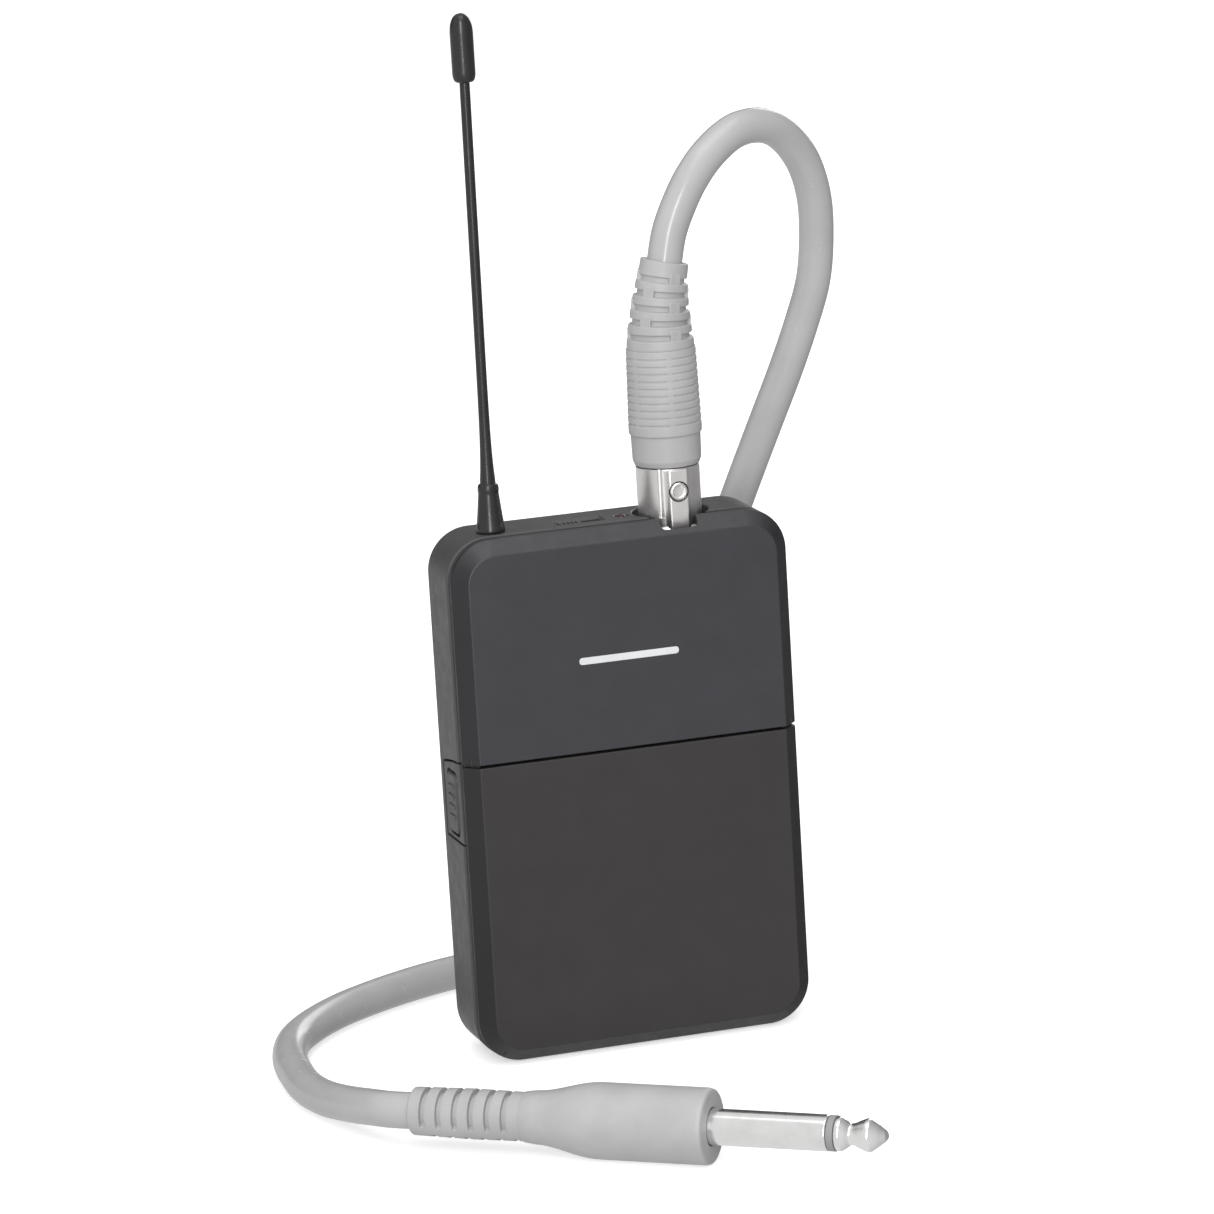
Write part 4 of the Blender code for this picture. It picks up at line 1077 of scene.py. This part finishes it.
def belt_clip_hardware():
    y, z = CLIP_PIVOT.y, CLIP_PIVOT.z
    piece("belt_clip_pin", rod((-9, y, z), (9, y, z), 1.0, 40, 0.3))
    spring = coil((-2.4, y, z), (1.75, 1.75), (0, 4.8), 4.5, (1, 0, 0))
    piece("belt_clip_spring", tube(spring, 0.4 * MM, 14))
    profile = [(0, 0), (0.9, 0), (0.9, 2.9), (2.0, 2.9), (1.9, 3.25), (1.2, 3.4), (0, 3.45)]
    for node in CLIP_SCREWS:
        screw(node, profile, 40, 0.1, 1.1, 0.7)


# ---- top face and antenna


def power_switch():
    low, high = box_mm("power_switch_knob")
    steps = []
    for i in range(4):
        x = low.x + 0.75 + 0.75 * i
        steps += minus(block((x, low.y - 1, high.z - 0.4), (x + 0.35, high.y + 1, high.z + 1), 0.08))
    piece("power_switch_knob", block(low, high, 0.2), steps)


def status_led():
    low = box_mm("status_led")[0]
    profile = [(0, 0), (1.3, 0), (1.3, 0.8), (1.0, 0.8), (1.0, 4.2), (0.85, 4.6), (0.5, 4.9), (0, 5.0)]
    piece("status_led", turned(profile, (LED.x, LED.y, low.z), sides=40, soft=0.12))


def antenna():
    x, y = ANTENNA.x, ANTENNA.y
    ferrule = [(0, 91.2), (2.4, 91.2), (2.4, 93), (1.5, 93), (1.5, 97.9), (0, 97.9)]
    piece("antenna_ferrule", turned(ferrule, (x, y, 0), sides=48, soft=0.15))
    boot = [(0, 98.1), (2.75, 98.1), (2.7, 98.9), (2.45, 99.9), (2.2, 102), (1.85, 105.4)]
    boot += [(1.95, 105.7), (1.9, 106.6), (1.55, 107.05), (0, 107.05)]
    piece("antenna_boot", turned(boot, (x, y, 0), sides=72, soft=0.35))
    low, high = box_mm("antenna_whip")
    length = high.z - low.z
    profile = [(0, -0.8)]
    for i in range(60):
        height = -0.8 + length * i / 60
        profile.append((0.94 + 0.5 * math.exp(-max(height, 0) / 5), height))
    profile += [(0.92, length + 0.4), (0, length + 0.4)]
    start, top = Vector((x, y, low.z)), Vector((x + 0.45, y, high.z))
    whip = mesh_object("antenna_whip_fine", turned(profile, start, top - start, 32, 0))
    shade(whip, FINISH["antenna_rubber"], SOFT_EDGE)
    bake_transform(whip)
    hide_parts("antenna_whip")
    tip = [(0, 0), (1.5, 0), (1.95, 0.5), (2.1, 1.4), (2.1, 9.2), (1.95, 10.4), (1.55, 11.5)]
    tip += [(0.9, 12.2), (0, 12.4)]
    piece("antenna_tip", turned(tip, (x + 0.45, y, high.z + 0.3), sides=64, soft=0.5))


def case_connector():
    centre = (JACK.x, JACK.y, 0)
    shell = [(4.6, 79.6), (5.3, 79.6), (5.3, 94.3), (6.5, 94.3), (6.5, 95.0), (4.6, 95.0)]
    piece("jack_shell", turned(shell, centre, sides=80, soft=0.12, closed=True))
    nut = [(5.6, 90.4), (6.5, 90.4), (6.5, 92.1), (5.6, 92.1)]
    piece("jack_nut", turned(nut, centre, sides=80, soft=0.15, closed=True))


# ---- inside


def batteries():
    """Two AA cells, one each way up, each with a nub and a base."""
    for node, way in (("battery_left", 1), ("battery_right", -1)):
        low, high = box_mm(node)
        middle = middle_mm(node)
        start = low.z if way > 0 else high.z
        length, radius = high.z - low.z, (high.x - low.x) / 2
        profile = [(0, 0), (radius - 1.1, 0), (radius - 0.8, 0.25), (radius, 0.5), (radius, length - 1.9)]
        profile += [(radius - 0.5, length - 1.3), (radius - 0.9, length - 1.45), (3.2, length - 1.45)]
        profile += [(2.7, length - 1.2), (2.65, length - 0.25), (2.3, length), (0, length)]
        look = None
        if way < 0:
            look = printed_film("cell_wrap_turned_look", low.z + high.z - WRAP_SPLIT, way)
        piece(node, turned(profile, (middle.x, middle.y, start), (0, 0, way), 72, 0.15), look=look)


def contact_springs():
    x, y = middle_mm("battery_right").xy
    piece("contact_spring_lower", tube(coil((-x, y, 3.1), (2.9, 2.0), (0, 2.5), 2.6), 0.35 * MM, 12))
    piece("contact_spring_upper", tube(coil((x, y, 57.5), (2.6, 4.4), (0, 1.4), 1.4), 0.35 * MM, 12))


def gain_trim():
    x, z = TRIM.x, TRIM.z
    low, high = box_mm("gain_trim_rotor")
    steps = minus(
        block((x - 1.7, low.y - 1, z - 0.35), (x + 1.7, low.y + 0.7, z + 0.35), 0.1),
        block((x - 0.35, low.y - 1, z - 1.7), (x + 0.35, low.y + 0.7, z + 1.7), 0.1),
    )
    piece("gain_trim_rotor", rod((x, high.y, z), (x, low.y, z), 2.1, 48, 0.25), steps)


def carried_over():
    """CAD nodes whose shape is right keep it and get their slot's look."""
    for name, node in frame["nodes"].items():
        if node.hide_render:
            continue
        node.data.materials.clear()
        node.data.materials.append(FINISH[SLOT_OF[name]])


# ---- the whole

camera()
lead()
studio()
floor()
rear_shell()
front_shell()
battery_door()
door_latch("door_latch_left", -1)
door_latch("door_latch_right", 1)
hinge_pins()
case_screws()
belt_clip_base()
belt_clip()
belt_clip_hardware()
power_switch()
status_led()
antenna()
case_connector()
batteries()
contact_springs()
gain_trim()
carried_over()

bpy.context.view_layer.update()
